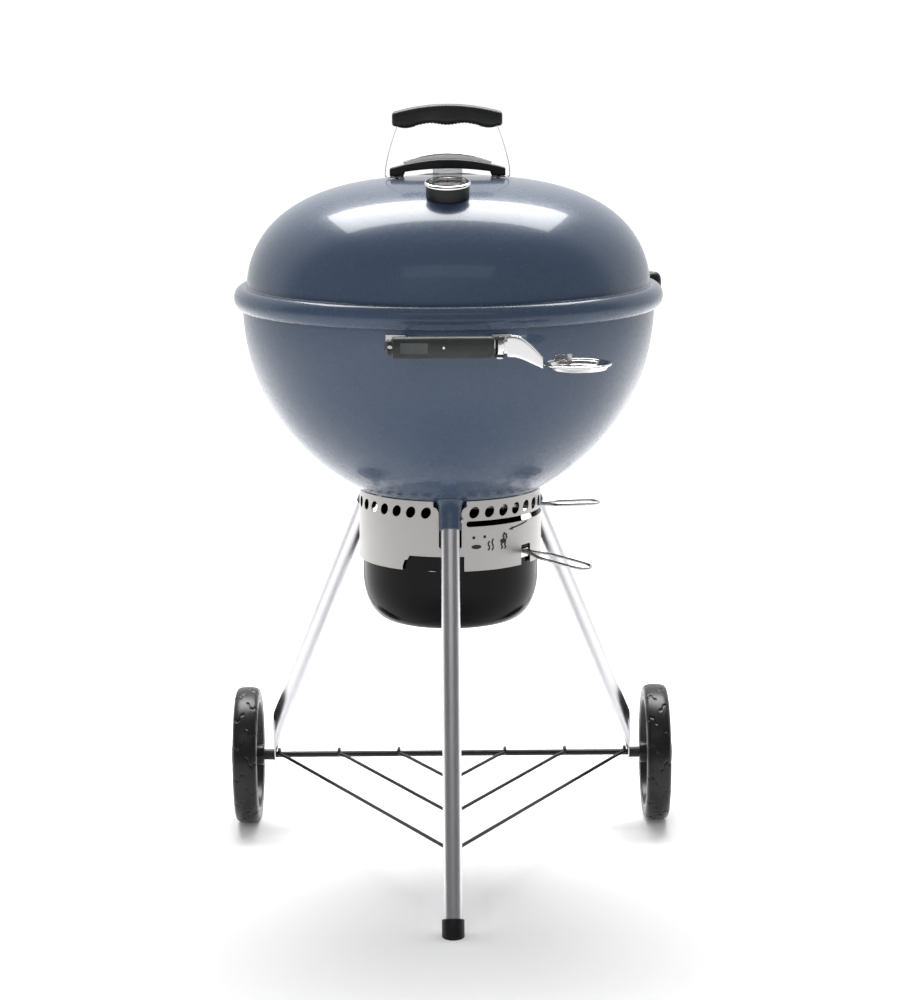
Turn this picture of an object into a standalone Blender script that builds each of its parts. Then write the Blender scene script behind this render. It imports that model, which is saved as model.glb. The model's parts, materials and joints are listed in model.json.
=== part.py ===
"""A kettle charcoal grill as separate pieces. Metres, +Z up, floor at z = 0, front towards -Y."""

from math import asin, atan, cos, degrees, hypot, pi, radians, sin, sqrt, tan

import bmesh
import bpy
from mathutils import Matrix, Vector

# ------------------------------------------------------------------ clearances and fineness
GAP = 0.0003  # left between pieces that touch
RUN = 0.0008  # left between pieces that turn or slide on each other
ROUND = 32  # faces around the kettle
BOWL_ROWS = 12
LID_ROWS = 9
WIRE_SIDES = 5

# ------------------------------------------------------------------ bowl and lid
BOWL_RADIUS = 0.2867
BOWL_DEPTH = 0.2983
BOWL_HEIGHT = 0.8047  # floor to the widest level of the bowl
BOWL_SQUARE_R = 1.88  # superellipse exponents: 2 is a true ellipse
BOWL_SQUARE_Z = 2.141
SHEET = 0.0020  # enamelled steel
BEAD_RADIUS = 0.0028  # rolled rim of the bowl

LID_INSET = 0.0051  # lid wall inside the bowl's radius
LID_LIFT = 0.0021  # widest level of the lid above that of the bowl
LID_RISE = 0.1654
LID_SQUARE_R = 2.778
LID_SQUARE_Z = 2.348
FLANGE_OUT = 0.0139  # half axes of the flared rim's oval section
FLANGE_UP = 0.0165
FLANGE_CURL = 62  # degrees the rim curls back under

# ------------------------------------------------------------------ legs, wheels, rack
LEG_TILT = 24.5
LEG_TOP_RADIUS = 0.1259  # where the leg's centre line meets the socket's end
LEG_TUBE = 0.0127
LEG_WALL = 0.0012
SOCKET_ROOF = 0.0080  # bowl surface to the end of the bore, straight down
SOCKET_WALL = 0.0017
SOCKET_LENGTH = 0.0330
SOCKET_FLARE = 0.0042
FOOT_WALL = 0.0020
FOOT_HEIGHT = 0.0200
FOOT_SOLE = 0.0035
WHEEL_RADIUS = 0.1016
WHEEL_WIDTH = 0.0380
WHEEL_CENTRE_X = 0.3040
TYRE_DEPTH = 0.0170
HUB_BOSS = 0.0150
HUB_BOSS_WIDTH = 0.0470
AXLE_RADIUS = 0.0045
AXLE_FORWARD = 0.0030  # axle ahead of the leg's centre line
BUSH_RADIUS = 0.0080
TONGUE_THICK = 0.0020
TONGUE_RISE = 0.0520  # axle to the middle of the tongue's round top
TONGUE_HALF = 0.0119
TONGUE_TOP_HALF = 0.0103
SCREW_RADIUS = 0.0040
SCREW_RISE = 0.0030
LEG_CUT_IN = 0.0129  # flattened leg end inside the leg's centre line
RACK_WIRE = 0.0025
RACK_SLOPE = 0.535  # sideways run of a rack wire for each unit forward
RACK_PITCH = 0.0895

# ------------------------------------------------------------------ ash ring and pot
RING_RADIUS = 0.1285
RING_SHEET = 0.0012
RING_DROP = 0.0664  # below the bowl's lowest point
RING_RECESS = 0.0210  # raised bottom edge left of the front leg
NOTCH_HALF_ANGLE = 7.0
NOTCH_MOUTH_ANGLE = 10.3  # the notch widens at the top around the socket's flare
NOTCH_MOUTH_DROP = 0.0175
NOTCH_DROP = 0.0574  # leg bore's end to the notch's floor
RECESS_START, RECESS_END = -31.0, 8.5  # degrees from the front
VENT_HOLE_RADIUS = 0.0080
VENT_HOLE_STEP = 10.0
VENT_HOLE_RISE = 0.0156  # hole centres above the bowl's lowest point
SLOT_START, SLOT_END = 10.0, 108.0
SLOT_HEIGHT = 0.0080
POT_CLEARANCE = 0.0045  # between the pot and the outside of the ring
POT_RADIUS = RING_RADIUS - POT_CLEARANCE
POT_DROP = 0.1554  # pot's floor below the bowl's lowest point
POT_HEIGHT = 0.1150
POT_CORNER_OUT = 0.0360
POT_CORNER_UP = 0.0630
POT_SHEET = 0.0012
POT_HANDLE_ANGLE = 55.0
POT_HANDLE_REACH = 0.2330
POT_HANDLE_HALF = 0.0150
POT_HANDLE_RISE = 0.0180  # above the ring's bottom edge
POT_HANDLE_FALL = 0.0130  # from root to tip
POT_PLATE_SHEET = 0.0020
POT_NECK = 0.0050
POT_NOTCH_HALF = 5.0  # degrees
POT_NOTCH_RISE = 0.0280
HANDLE_WIRE = 0.0022
LOOP_NECK_END = 0.1400  # both wire loops widen from this radius

# ------------------------------------------------------------------ vents under the charcoal
LEVER_ANGLE = 99.0
LEVER_REACH = 0.2150
LEVER_HALF = 0.0150
LEVER_NECK = 0.0060
LEVER_ROOT = 0.1000
LEVER_SHEET = 0.0025
LEVER_HUB = 0.0135
SHAFT_RADIUS = 0.0050
SHAFT_HEAD = 0.0090
SHAFT_HEAD_RISE = 0.0040
BLADE_SHEET = 0.0015
BLADE_REACH = 0.1100
BLADE_HALF_ANGLE = 19.0
VENT_REACH = 0.1030
VENT_ROOT = 0.0400
VENT_HALF_ANGLE = 15.0

# ------------------------------------------------------------------ grates
GRATE_HEIGHT = 0.7500
GRATE_RADIUS = 0.2730
GRATE_WIRE = 0.0027
GRATE_PITCH = 0.0260
GRATE_CROSS = 0.1150
FLAP_LINE = 0.1350  # hinge lines of the side flaps, either side of the middle
CHARCOAL_RADIUS = 0.2220
CHARCOAL_WIRE = 0.0032
CHARCOAL_PITCH = 0.0370
CHARCOAL_CROSS = 0.0930
BRACKET_HALF = 0.0110
BRACKET_REACH = 0.0150

# ------------------------------------------------------------------ lid handle, damper, thermometer
GRIP_HALF = 0.0760
GRIP_TOP = 0.1000  # above the lid's apex
GRIP_CROWN = 0.0110
GRIP_THICK = 0.0290
GRIP_HALF_DEPTH = 0.0140
STRAP_FOOT_X = 0.0862
STRAP_LEAN = 0.0178
STRAP_THICK = 0.0016
STRAP_HALF_WIDTH = 0.0110
STRAP_TUCK = 0.0120  # straps reach this far into the grip
STRAP_BEND = 0.0060  # height of the curve at their foot
ARCH_HALF = 0.0800
ARCH_FOOT = 0.0190
ARCH_TOP = 0.0246  # above the lid's apex
ARCH_THICK = 0.0130
ARCH_SAG = 0.0126
ARCH_HALF_DEPTH = 0.0100
SHIELD_TOP = 0.0320
SHIELD_HALF = 0.0620
SHIELD_SAG = 0.0113
SHIELD_SHEET = 0.0012
BOLT_RADIUS = 0.0030
DAMPER_FROM_CENTRE = 0.1200
DAMPER_RADIUS = 0.0460
DAMPER_SHEET = 0.0012
DAMPER_HOLE = 0.0080
DAMPER_HOLE_CIRCLE = 0.0270
DAMPER_TAB_HALF = 0.0210
DAMPER_TAB_RISE = 0.0190
GAUGE_FROM_CENTRE = 0.1570
GAUGE_TILT = 11.0
GAUGE_RADIUS = 0.0290
GAUGE_HEIGHT = 0.0180
BEZEL_RADIUS = 0.0310
PROBE_RADIUS = 0.0025
PROBE_LENGTH = 0.0600
PROBE_CLEAR = 0.0013
NEEDLE_SHEET = 0.0009
SKIN_REACH = 0.0120  # cutters reach this far either side of the lid's surface

# ------------------------------------------------------------------ bowl handles, dish, lid holder
HANDLE_HEIGHT = 0.7785
HANDLE_OUT = 0.3250  # bracket's middle from the kettle's axis
HANDLE_BRACKET_HALF = 0.0550
BRACKET_SHEET = 0.0025
FOOT_BEDDING = 0.0002  # the facets of the bowl lie this much and a gap inside its true curve
BRACKET_HEIGHT = 0.0180
HANDLE_GRIP_HALF = 0.0760
HANDLE_GRIP_HEIGHT = 0.0285
HANDLE_GRIP_DEPTH = 0.0220
FRONT_GRIP_LEFT = 0.0820
FRONT_GRIP_RIGHT = 0.0580
PIN_PAST_GRIP = 0.0075
PIN_RADIUS = 0.0030
KNUCKLE_RADIUS = 0.0060
LUG_SHEET = 0.0032
DISH_RADIUS = 0.0440
DISH_DEPTH = 0.0080
DISH_DROP = 0.0215  # dish rim below the handle's middle
DISH_FROM_PIN = 0.0930
DISH_SHEET = 0.0012
ARM_SHEET = 0.0020
HOLDER_ANGLE = 130.0
HOLDER_PIVOT_OUT = 0.3040
HOLDER_PIVOT_HEIGHT = 0.7700
HOLDER_BAR_OUT = 0.3350
HOLDER_BAR_HEIGHT = 0.8060
HOLDER_BAR_HALF = 0.0750
HOLDER_BAR_RADIUS = 0.0150
HOLDER_BAR_HALF_DEPTH = 0.0110
HOLDER_EAR = 0.0580
HOLDER_WIRE = 0.0032

# ------------------------------------------------------------------ worked out from the sizes above
LID_BASE = BOWL_HEIGHT + LID_LIFT
LID_RADIUS = BOWL_RADIUS - LID_INSET
LID_APEX = LID_BASE + LID_RISE
BOWL_BOTTOM = BOWL_HEIGHT - BOWL_DEPTH
RING_BOTTOM = BOWL_BOTTOM - RING_DROP
LEVER_HEIGHT = BOWL_BOTTOM - 0.0002
RACK_HEIGHT = WHEEL_RADIUS + 0.0020
SPINE_HEIGHT = RACK_HEIGHT - 0.0021  # the rack's middle wire runs under the others
LEG_ANGLES = {"front": 0.0, "right": 120.0, "left": 240.0}


def bowl_height(radius, inset=0.0):
    """Height of the bowl's surface at this radius; the inset steps into the sheet."""
    share = (radius / (BOWL_RADIUS - inset)) ** BOWL_SQUARE_R
    return BOWL_HEIGHT - (BOWL_DEPTH - inset) * (1 - share) ** (1 / BOWL_SQUARE_Z)


def bowl_radius(height, inset=0.0):
    """Radius of the bowl's surface at this height."""
    share = (max(BOWL_HEIGHT - height, 0.0) / (BOWL_DEPTH - inset)) ** BOWL_SQUARE_Z
    return (BOWL_RADIUS - inset) * (1 - share) ** (1 / BOWL_SQUARE_R)


def lid_height(radius, inset=0.0):
    """Height of the lid's surface at this radius."""
    share = (radius / (LID_RADIUS - inset)) ** LID_SQUARE_R
    return LID_BASE + (LID_RISE - inset) * (1 - share) ** (1 / LID_SQUARE_Z)


def lid_slope(radius):
    """Fall of the lid's surface at this radius, as a positive angle in radians."""
    step = 0.0005
    return atan((lid_height(radius - step) - lid_height(radius + step)) / (2 * step))


def leg_radius(height):
    """Distance of a leg's centre line from the kettle's axis at this height."""
    top = bowl_height(LEG_TOP_RADIUS) - SOCKET_ROOF
    return LEG_TOP_RADIUS + (top - height) * tan(radians(LEG_TILT))


def around(angle, radius, height=0.0):
    """A point at this angle from the front, counted towards +X, and this radius."""
    return Vector((radius * sin(radians(angle)), -radius * cos(radians(angle)), height))


AXLE_Y = leg_radius(WHEEL_RADIUS) * cos(radians(60)) - AXLE_FORWARD
LEG_CUT_X = leg_radius(WHEEL_RADIUS) * sin(radians(60)) - LEG_CUT_IN
TONGUE_FACE = LEG_CUT_X + 0.0002

# ------------------------------------------------------------------ the scene, the materials and the objects
for old in list(bpy.data.objects):
    bpy.data.objects.remove(old)

ROOT = bpy.data.objects.new("kettle_axis", None)
bpy.context.scene.collection.objects.link(ROOT)


def material(name, colour, roughness, metallic=0.0):
    made = bpy.data.materials.new(name)
    made.use_nodes = True
    shader = made.node_tree.nodes["Principled BSDF"]
    shader.inputs["Base Color"].default_value = (*colour, 1.0)
    shader.inputs["Roughness"].default_value = roughness
    shader.inputs["Metallic"].default_value = metallic
    return made


BLUE = material("slate_blue_enamel", (0.065, 0.085, 0.125), 0.18)
BLACK_ENAMEL = material("black_enamel", (0.010, 0.010, 0.011), 0.15)
BLACK_PLASTIC = material("black_plastic", (0.018, 0.018, 0.019), 0.45)
GREEN_PLASTIC = material("dark_grip_plastic", (0.040, 0.045, 0.040), 0.50)
GREY_PLASTIC = material("grey_plastic", (0.060, 0.060, 0.062), 0.50)
TREAD = material("tread_plastic", (0.022, 0.022, 0.023), 0.55)
ALUMINIUM = material("satin_aluminium", (0.55, 0.55, 0.57), 0.30, 1.0)
STEEL = material("brushed_steel", (0.50, 0.49, 0.47), 0.32, 1.0)
POLISHED = material("polished_steel", (0.72, 0.72, 0.73), 0.08, 1.0)
BRIGHT_WIRE = material("plated_wire", (0.55, 0.55, 0.54), 0.25, 1.0)
BLACK_WIRE = material("black_wire", (0.014, 0.014, 0.014), 0.40)
DIAL_PAINT = material("dial_paint", (0.78, 0.76, 0.72), 0.50)
GLASS = material("gauge_glass", (0.85, 0.88, 0.90), 0.05)
NEEDLE_PAINT = material("needle_paint", (0.45, 0.03, 0.02), 0.45)


def place(name, bm, finish, pivot=(0, 0, 0), crease=35):
    """Puts a bmesh into the scene as one object whose origin is the pivot."""
    pivot = Vector(pivot)
    bmesh.ops.remove_doubles(bm, verts=bm.verts, dist=1e-6)
    bmesh.ops.recalc_face_normals(bm, faces=bm.faces)
    bmesh.ops.translate(bm, verts=bm.verts, vec=-pivot)
    mesh = bpy.data.meshes.new(name)
    bm.to_mesh(mesh)
    bm.free()
    mesh.shade_smooth()
    mesh.set_sharp_from_angle(angle=radians(crease))
    mesh.materials.append(finish)
    made = bpy.data.objects.new(name, mesh)
    bpy.context.scene.collection.objects.link(made)
    made.parent = ROOT
    made.location = pivot
    return made


def helper(name, bm):
    """A cutter, or a shape to be joined to another: not a piece of the grill."""
    made = place(name, bm, STEEL)
    made.hide_render = True
    made.display_type = "WIRE"
    return made


def combine(target, operation, bm):
    """Cuts this shape out of the target (DIFFERENCE) or joins it on (UNION)."""
    other = helper(f"{target.name}.{operation.lower()}.{len(target.modifiers)}", bm)
    boolean = target.modifiers.new(operation.title(), "BOOLEAN")
    boolean.operation = operation
    boolean.solver = "EXACT"
    boolean.object = other


# ------------------------------------------------------------------ shapes
def turned(profile, closed=False, start=0.0, sweep=360.0, steps=ROUND):
    """A (radius, height) profile turned about Z from an angle counted as in around()."""
    bm = bmesh.new()
    verts = [bm.verts.new(around(start, radius, height)) for radius, height in profile]
    pairs = list(zip(verts, verts[1:]))
    if closed:
        pairs.append((verts[-1], verts[0]))
    edges = [bm.edges.new(pair) for pair in pairs]
    full = sweep >= 360.0
    bmesh.ops.spin(
        bm,
        geom=verts + edges,
        cent=(0, 0, 0),
        axis=(0, 0, 1),
        angle=radians(sweep),
        steps=steps,
        use_duplicate=False,
    )
    bmesh.ops.remove_doubles(bm, verts=bm.verts, dist=1e-6)
    if not full:
        rim = [edge for edge in bm.edges if edge.is_boundary]
        bmesh.ops.holes_fill(bm, edges=rim, sides=0)
    return bm


def ring_profile(inner, outer, low, high):
    return [(inner, low), (outer, low), (outer, high), (inner, high)]


def tube(inner, outer, low, high, steps=24):
    """A straight tube about Z; an inner radius of 0 makes a solid rod."""
    if inner == 0:
        return turned([(0, low), (outer, low), (outer, high), (0, high)], steps=steps)
    return turned(ring_profile(inner, outer, low, high), closed=True, steps=steps)


def sector(inner, outer, low, high, start, end, steps=8):
    return turned(ring_profile(inner, outer, low, high), True, start, end - start, steps)


def along(bm, origin, direction, spin=(1, 0, 0)):
    """Moves a shape made about Z so that Z runs along the direction from the origin."""
    z_axis = Vector(direction).normalized()
    x_axis = Vector(spin) if abs(z_axis.dot(Vector(spin))) < 0.9 else Vector((0, 1, 0))
    x_axis = (x_axis - z_axis * x_axis.dot(z_axis)).normalized()
    y_axis = z_axis.cross(x_axis)
    turn = Matrix((x_axis, y_axis, z_axis)).transposed().to_4x4()
    bmesh.ops.transform(bm, matrix=Matrix.Translation(Vector(origin)) @ turn, verts=bm.verts)
    return bm


def box(low, high):
    bm = bmesh.new()
    bmesh.ops.create_cube(bm, size=1.0)
    low, high = Vector(low), Vector(high)
    bmesh.ops.scale(bm, vec=high - low, verts=bm.verts)
    bmesh.ops.translate(bm, vec=(high + low) / 2, verts=bm.verts)
    return bm


def turned_box(low, high, angle):
    """A box given at the front (radius along -Y) and then turned to this angle."""
    bm = box(low, high)
    bmesh.ops.rotate(bm, cent=(0, 0, 0), matrix=Matrix.Rotation(radians(angle), 3, "Z"), verts=bm.verts)
    return bm


def slice_off(bm, point, away):
    """Takes off what lies beyond a plane, on the side that the direction points to, and caps the cut."""
    parts = list(bm.verts) + list(bm.edges) + list(bm.faces)
    cut = bmesh.ops.bisect_plane(bm, geom=parts, plane_co=point, plane_no=away, clear_outer=True)
    rim = [part for part in cut["geom_cut"] if isinstance(part, bmesh.types.BMEdge)]
    bmesh.ops.holes_fill(bm, edges=rim, sides=0)


def prism(outline, low, high, across="y"):
    """An (x, z) outline drawn out along Y, or an (x, y) outline along Z."""
    bm = bmesh.new()
    if across == "y":
        verts = [bm.verts.new((x, low, z)) for x, z in outline]
        reach = Vector((0, high - low, 0))
    else:
        verts = [bm.verts.new((x, y, low)) for x, y in outline]
        reach = Vector((0, 0, high - low))
    face = bm.faces.new(verts)
    drawn = bmesh.ops.extrude_face_region(bm, geom=[face])
    moved = [part for part in drawn["geom"] if isinstance(part, bmesh.types.BMVert)]
    bmesh.ops.translate(bm, verts=moved, vec=reach)
    return bm


def lofted(rings, closed=False):
    """A skin over rings of points that all have the same count, with capped ends."""
    bm = bmesh.new()
    rows = [[bm.verts.new(point) for point in ring] for ring in rings]
    count = len(rows[0])
    pairs = list(zip(rows, rows[1:]))
    if closed:
        pairs.append((rows[-1], rows[0]))
    for first, second in pairs:
        for i in range(count):
            j = (i + 1) % count
            bm.faces.new((first[i], first[j], second[j], second[i]))
    if not closed:
        bm.faces.new(rows[0])
        bm.faces.new(rows[-1])
    return bm


def circle(radius, sides=WIRE_SIDES):
    return [(radius * cos(2 * pi * i / sides), radius * sin(2 * pi * i / sides)) for i in range(sides)]


def strip(width, thick):
    """Section of a band: width along the sweep's side direction."""
    half, edge = width / 2, thick / 2
    return [(-half, -edge), (half, -edge), (half, edge), (-half, edge)]


def swept(path, section, side=(0, 0, 1), closed=False):
    """A section carried along a path; its first coordinate stays near the side direction."""
    points = [Vector(point) for point in path]
    side = Vector(side)
    last = len(points) - 1
    rings = []
    for i, point in enumerate(points):
        before = points[i - 1] if i > 0 or closed else point
        after = points[(i + 1) % (last + 1)] if i < last or closed else point
        way_in, way_out = (point - before).normalized(), (after - point).normalized()
        tangent = (way_in + way_out).normalized()
        side = (side - tangent * side.dot(tangent)).normalized()
        normal = tangent.cross(side)
        offsets = [side * u + normal * v for u, v in section]
        bend = way_out - way_in
        if way_in.length > 0.5 and way_out.length > 0.5 and bend.length > 1e-6:
            bend.normalize()
            stretch = 1 / max(tangent.dot(way_out), 0.5) - 1
            offsets = [offset + bend * (offset.dot(bend) * stretch) for offset in offsets]
        rings.append([point + offset for offset in offsets])
    return lofted(rings, closed)


def smooth(points, per_span=4):
    """A Catmull-Rom curve through the points."""
    points = [Vector(point) for point in points]
    padded = [2 * points[0] - points[1]] + points + [2 * points[-1] - points[-2]]
    curve = []
    for a, b, c, d in zip(padded, padded[1:], padded[2:], padded[3:]):
        for i in range(per_span):
            t = i / per_span
            square = 2 * a - 5 * b + 4 * c - d
            cube = 3 * b - a - 3 * c + d
            curve.append(0.5 * (2 * b + (c - a) * t + square * t**2 + cube * t**3))
    return curve + [points[-1]]


def arc(centre, radius_x, radius_y, start, end, steps):
    """Points on an oval arc in two coordinates, angles in degrees."""
    angles = [radians(start + (end - start) * i / steps) for i in range(steps + 1)]
    return [(centre[0] + radius_x * cos(a), centre[1] + radius_y * sin(a)) for a in angles]


# ------------------------------------------------------------------ bowl
LID_FLANGE_CENTRE = (LID_RADIUS + 0.0030, LID_BASE + 0.0020)
INNER_FLANGE_TOP = LID_FLANGE_CENTRE[1] + FLANGE_UP - SHEET
BEAD_CENTRE = (BOWL_RADIUS - 0.0003, INNER_FLANGE_TOP - BEAD_RADIUS - 0.0009)


def dome_points(radius, depth, square_r, square_z, count):
    """(radius, drop) pairs of a superellipse from its widest level to its pole."""
    pairs = []
    for i in range(count + 1):
        t = pi / 2 * i / count
        pairs.append((radius * cos(t) ** (2 / square_r), depth * sin(t) ** (2 / square_z)))
    pairs[-1] = (0.0, depth)
    return pairs


def make_bowl():
    outer = dome_points(BOWL_RADIUS, BOWL_DEPTH, BOWL_SQUARE_R, BOWL_SQUARE_Z, BOWL_ROWS)
    inner = dome_points(BOWL_RADIUS - SHEET, BOWL_DEPTH - SHEET, BOWL_SQUARE_R, BOWL_SQUARE_Z, BOWL_ROWS)
    profile = [(radius, BOWL_HEIGHT - drop) for radius, drop in reversed(outer)]
    profile += arc(BEAD_CENTRE, BEAD_RADIUS, BEAD_RADIUS, -60, 210, 4)
    profile += [(radius, BOWL_HEIGHT - drop) for radius, drop in inner]
    bowl = place("bowl", turned(profile), BLUE)
    for angle in LEG_ANGLES.values():
        top, direction = socket_line(angle)
        socket = turned(
            [
                (0, -SOCKET_LENGTH),
                (LEG_TUBE + GAP + SOCKET_WALL, -SOCKET_LENGTH),
                (LEG_TUBE + GAP + SOCKET_WALL, -SOCKET_LENGTH / 3),
                (LEG_TUBE + GAP + SOCKET_WALL + SOCKET_FLARE, SOCKET_ROOF * 0.95),
                (0, SOCKET_ROOF * 0.95),
            ],
            steps=16,
        )
        combine(bowl, "UNION", along(socket, top, direction))
        bore = tube(0, LEG_TUBE + GAP, -SOCKET_LENGTH - 0.0101, 0, steps=16)
        combine(bowl, "DIFFERENCE", along(bore, top, direction))
    tab_top = GRATE_HEIGHT - GRATE_WIRE - GAP
    tab_out = bowl_radius(tab_top - SHEET, SHEET) + SHEET / 3
    for angle in (25, 155, 205, 335):
        low = (-BRACKET_HALF, -tab_out, tab_top - SHEET)
        high = (BRACKET_HALF, -tab_out + BRACKET_REACH, tab_top)
        combine(bowl, "UNION", turned_box(low, high, angle))
    low = BOWL_BOTTOM - SHEET
    high = bowl_height(VENT_REACH) + 2 * SHEET
    for angle in (60, 180, 300):
        vent = sector(VENT_ROOT, VENT_REACH, low, high, angle - VENT_HALF_ANGLE, angle + VENT_HALF_ANGLE, 6)
        combine(bowl, "DIFFERENCE", vent)
    combine(bowl, "DIFFERENCE", tube(0, SHAFT_RADIUS + RUN, low, BOWL_BOTTOM + 3 * SHEET, steps=16))
    return bowl


def socket_line(angle):
    """End of a leg's bore and the direction up along the leg, at this angle."""
    top = around(angle, LEG_TOP_RADIUS, bowl_height(LEG_TOP_RADIUS) - SOCKET_ROOF)
    direction = around(angle, -sin(radians(LEG_TILT)), cos(radians(LEG_TILT)))
    return top, direction


# ------------------------------------------------------------------ lid
def make_lid():
    start = asin((FLANGE_UP * 0.9 / LID_RISE) ** (LID_SQUARE_Z / 2))
    outer, inner = [], []
    count = LID_ROWS
    for i in range(count + 1):
        t = start + (pi / 2 - start) * i / count
        for row, inset in ((outer, 0.0), (inner, SHEET)):
            radius = (LID_RADIUS - inset) * max(cos(t), 0.0) ** (2 / LID_SQUARE_R)
            height = LID_BASE + (LID_RISE - inset) * sin(t) ** (2 / LID_SQUARE_Z)
            row.append((radius if i < count else 0.0, height))
    flange = arc(LID_FLANGE_CENTRE, FLANGE_OUT, FLANGE_UP, 88, -FLANGE_CURL, 6)
    under = arc(LID_FLANGE_CENTRE, FLANGE_OUT - SHEET, FLANGE_UP - SHEET, -FLANGE_CURL, 92, 6)
    # The wall's lowest ring meets the flared rim above its crown.
    outer[0] = (LID_RADIUS - 0.0002, LID_FLANGE_CENTRE[1] + FLANGE_UP + 0.0035)
    inner[0] = (LID_RADIUS - SHEET - 0.0002, LID_FLANGE_CENTRE[1] + FLANGE_UP + 0.0020)
    profile = list(reversed(outer)) + flange + under + inner
    lid = place("lid_shell", turned(profile), BLUE)
    low, high = LID_APEX - 0.06, LID_APEX + 0.02
    for side in (-1, 1):
        x = side * (ARCH_HALF - ARCH_FOOT / 2)
        bolt_hole = along(tube(0, BOLT_RADIUS + GAP, low, high, 10), (x, 0, 0), (0, 0, 1))
        combine(lid, "DIFFERENCE", bolt_hole)
    origin, direction = damper_frame()
    cut_damper_holes(lid, origin, direction)
    origin, direction = gauge_frame()
    probe_hole = tube(0, PROBE_RADIUS + PROBE_CLEAR, -SKIN_REACH, SKIN_REACH, 8)
    combine(lid, "DIFFERENCE", along(probe_hole, origin, direction))


def cut_damper_holes(target, origin, direction):
    """The draught holes and the rivet's hole, which the lid and the damper's disc share."""
    for angle in (45, 135, 225, 315):
        hole = tube(0, DAMPER_HOLE, -SKIN_REACH, SKIN_REACH, 8)
        bmesh.ops.translate(hole, vec=around(angle, DAMPER_HOLE_CIRCLE), verts=hole.verts)
        combine(target, "DIFFERENCE", along(hole, origin, direction))
    rivet_hole = tube(0, BOLT_RADIUS + GAP, -SKIN_REACH, SKIN_REACH, 10)
    combine(target, "DIFFERENCE", along(rivet_hole, origin, direction))


def damper_frame():
    """Where the damper's pivot leaves the lid, and its direction, behind the apex."""
    slope = lid_slope(DAMPER_FROM_CENTRE)
    origin = Vector((0, DAMPER_FROM_CENTRE, lid_height(DAMPER_FROM_CENTRE)))
    return origin, Vector((0, sin(slope), cos(slope)))


def gauge_frame():
    """Where the thermometer's axis leaves the lid, and its direction, ahead of the apex."""
    origin = Vector((0, -GAUGE_FROM_CENTRE, lid_height(GAUGE_FROM_CENTRE)))
    tilt = radians(GAUGE_TILT)
    return origin, Vector((0, -sin(tilt), cos(tilt)))


ARCH_FOOT_INNER = ARCH_HALF - ARCH_FOOT
FLANGE_STRIP_Z = lid_height(ARCH_FOOT_INNER - 0.004) + GAP + STRAP_THICK / 2
ARCH_FOOT_Z = FLANGE_STRIP_Z + STRAP_THICK / 2 + GAP


def grip_top(x):
    return LID_APEX + GRIP_TOP - GRIP_CROWN * (x / GRIP_HALF) ** 2


def grip_under(x):
    """Underside of the lid grip: a shallow bulge, two finger hollows and a lobe near each end."""
    share = abs(x) / GRIP_HALF
    hollow = 0.0028 * sin(min(share / 0.62, 1.0) * pi) ** 2
    lobe = 0.0030 * sin(max(min((share - 0.55) / 0.40, 1.0), 0.0) * pi)
    return LID_APEX + GRIP_TOP - GRIP_THICK + hollow - lobe - 0.0012 * share


def strap_x(height):
    """The straps lean inwards as they rise, ever faster."""
    low = FLANGE_STRIP_Z + 0.004
    share = max(height - low, 0.0) / (grip_under(0) - low)
    return STRAP_FOOT_X - STRAP_LEAN * share**1.5


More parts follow.
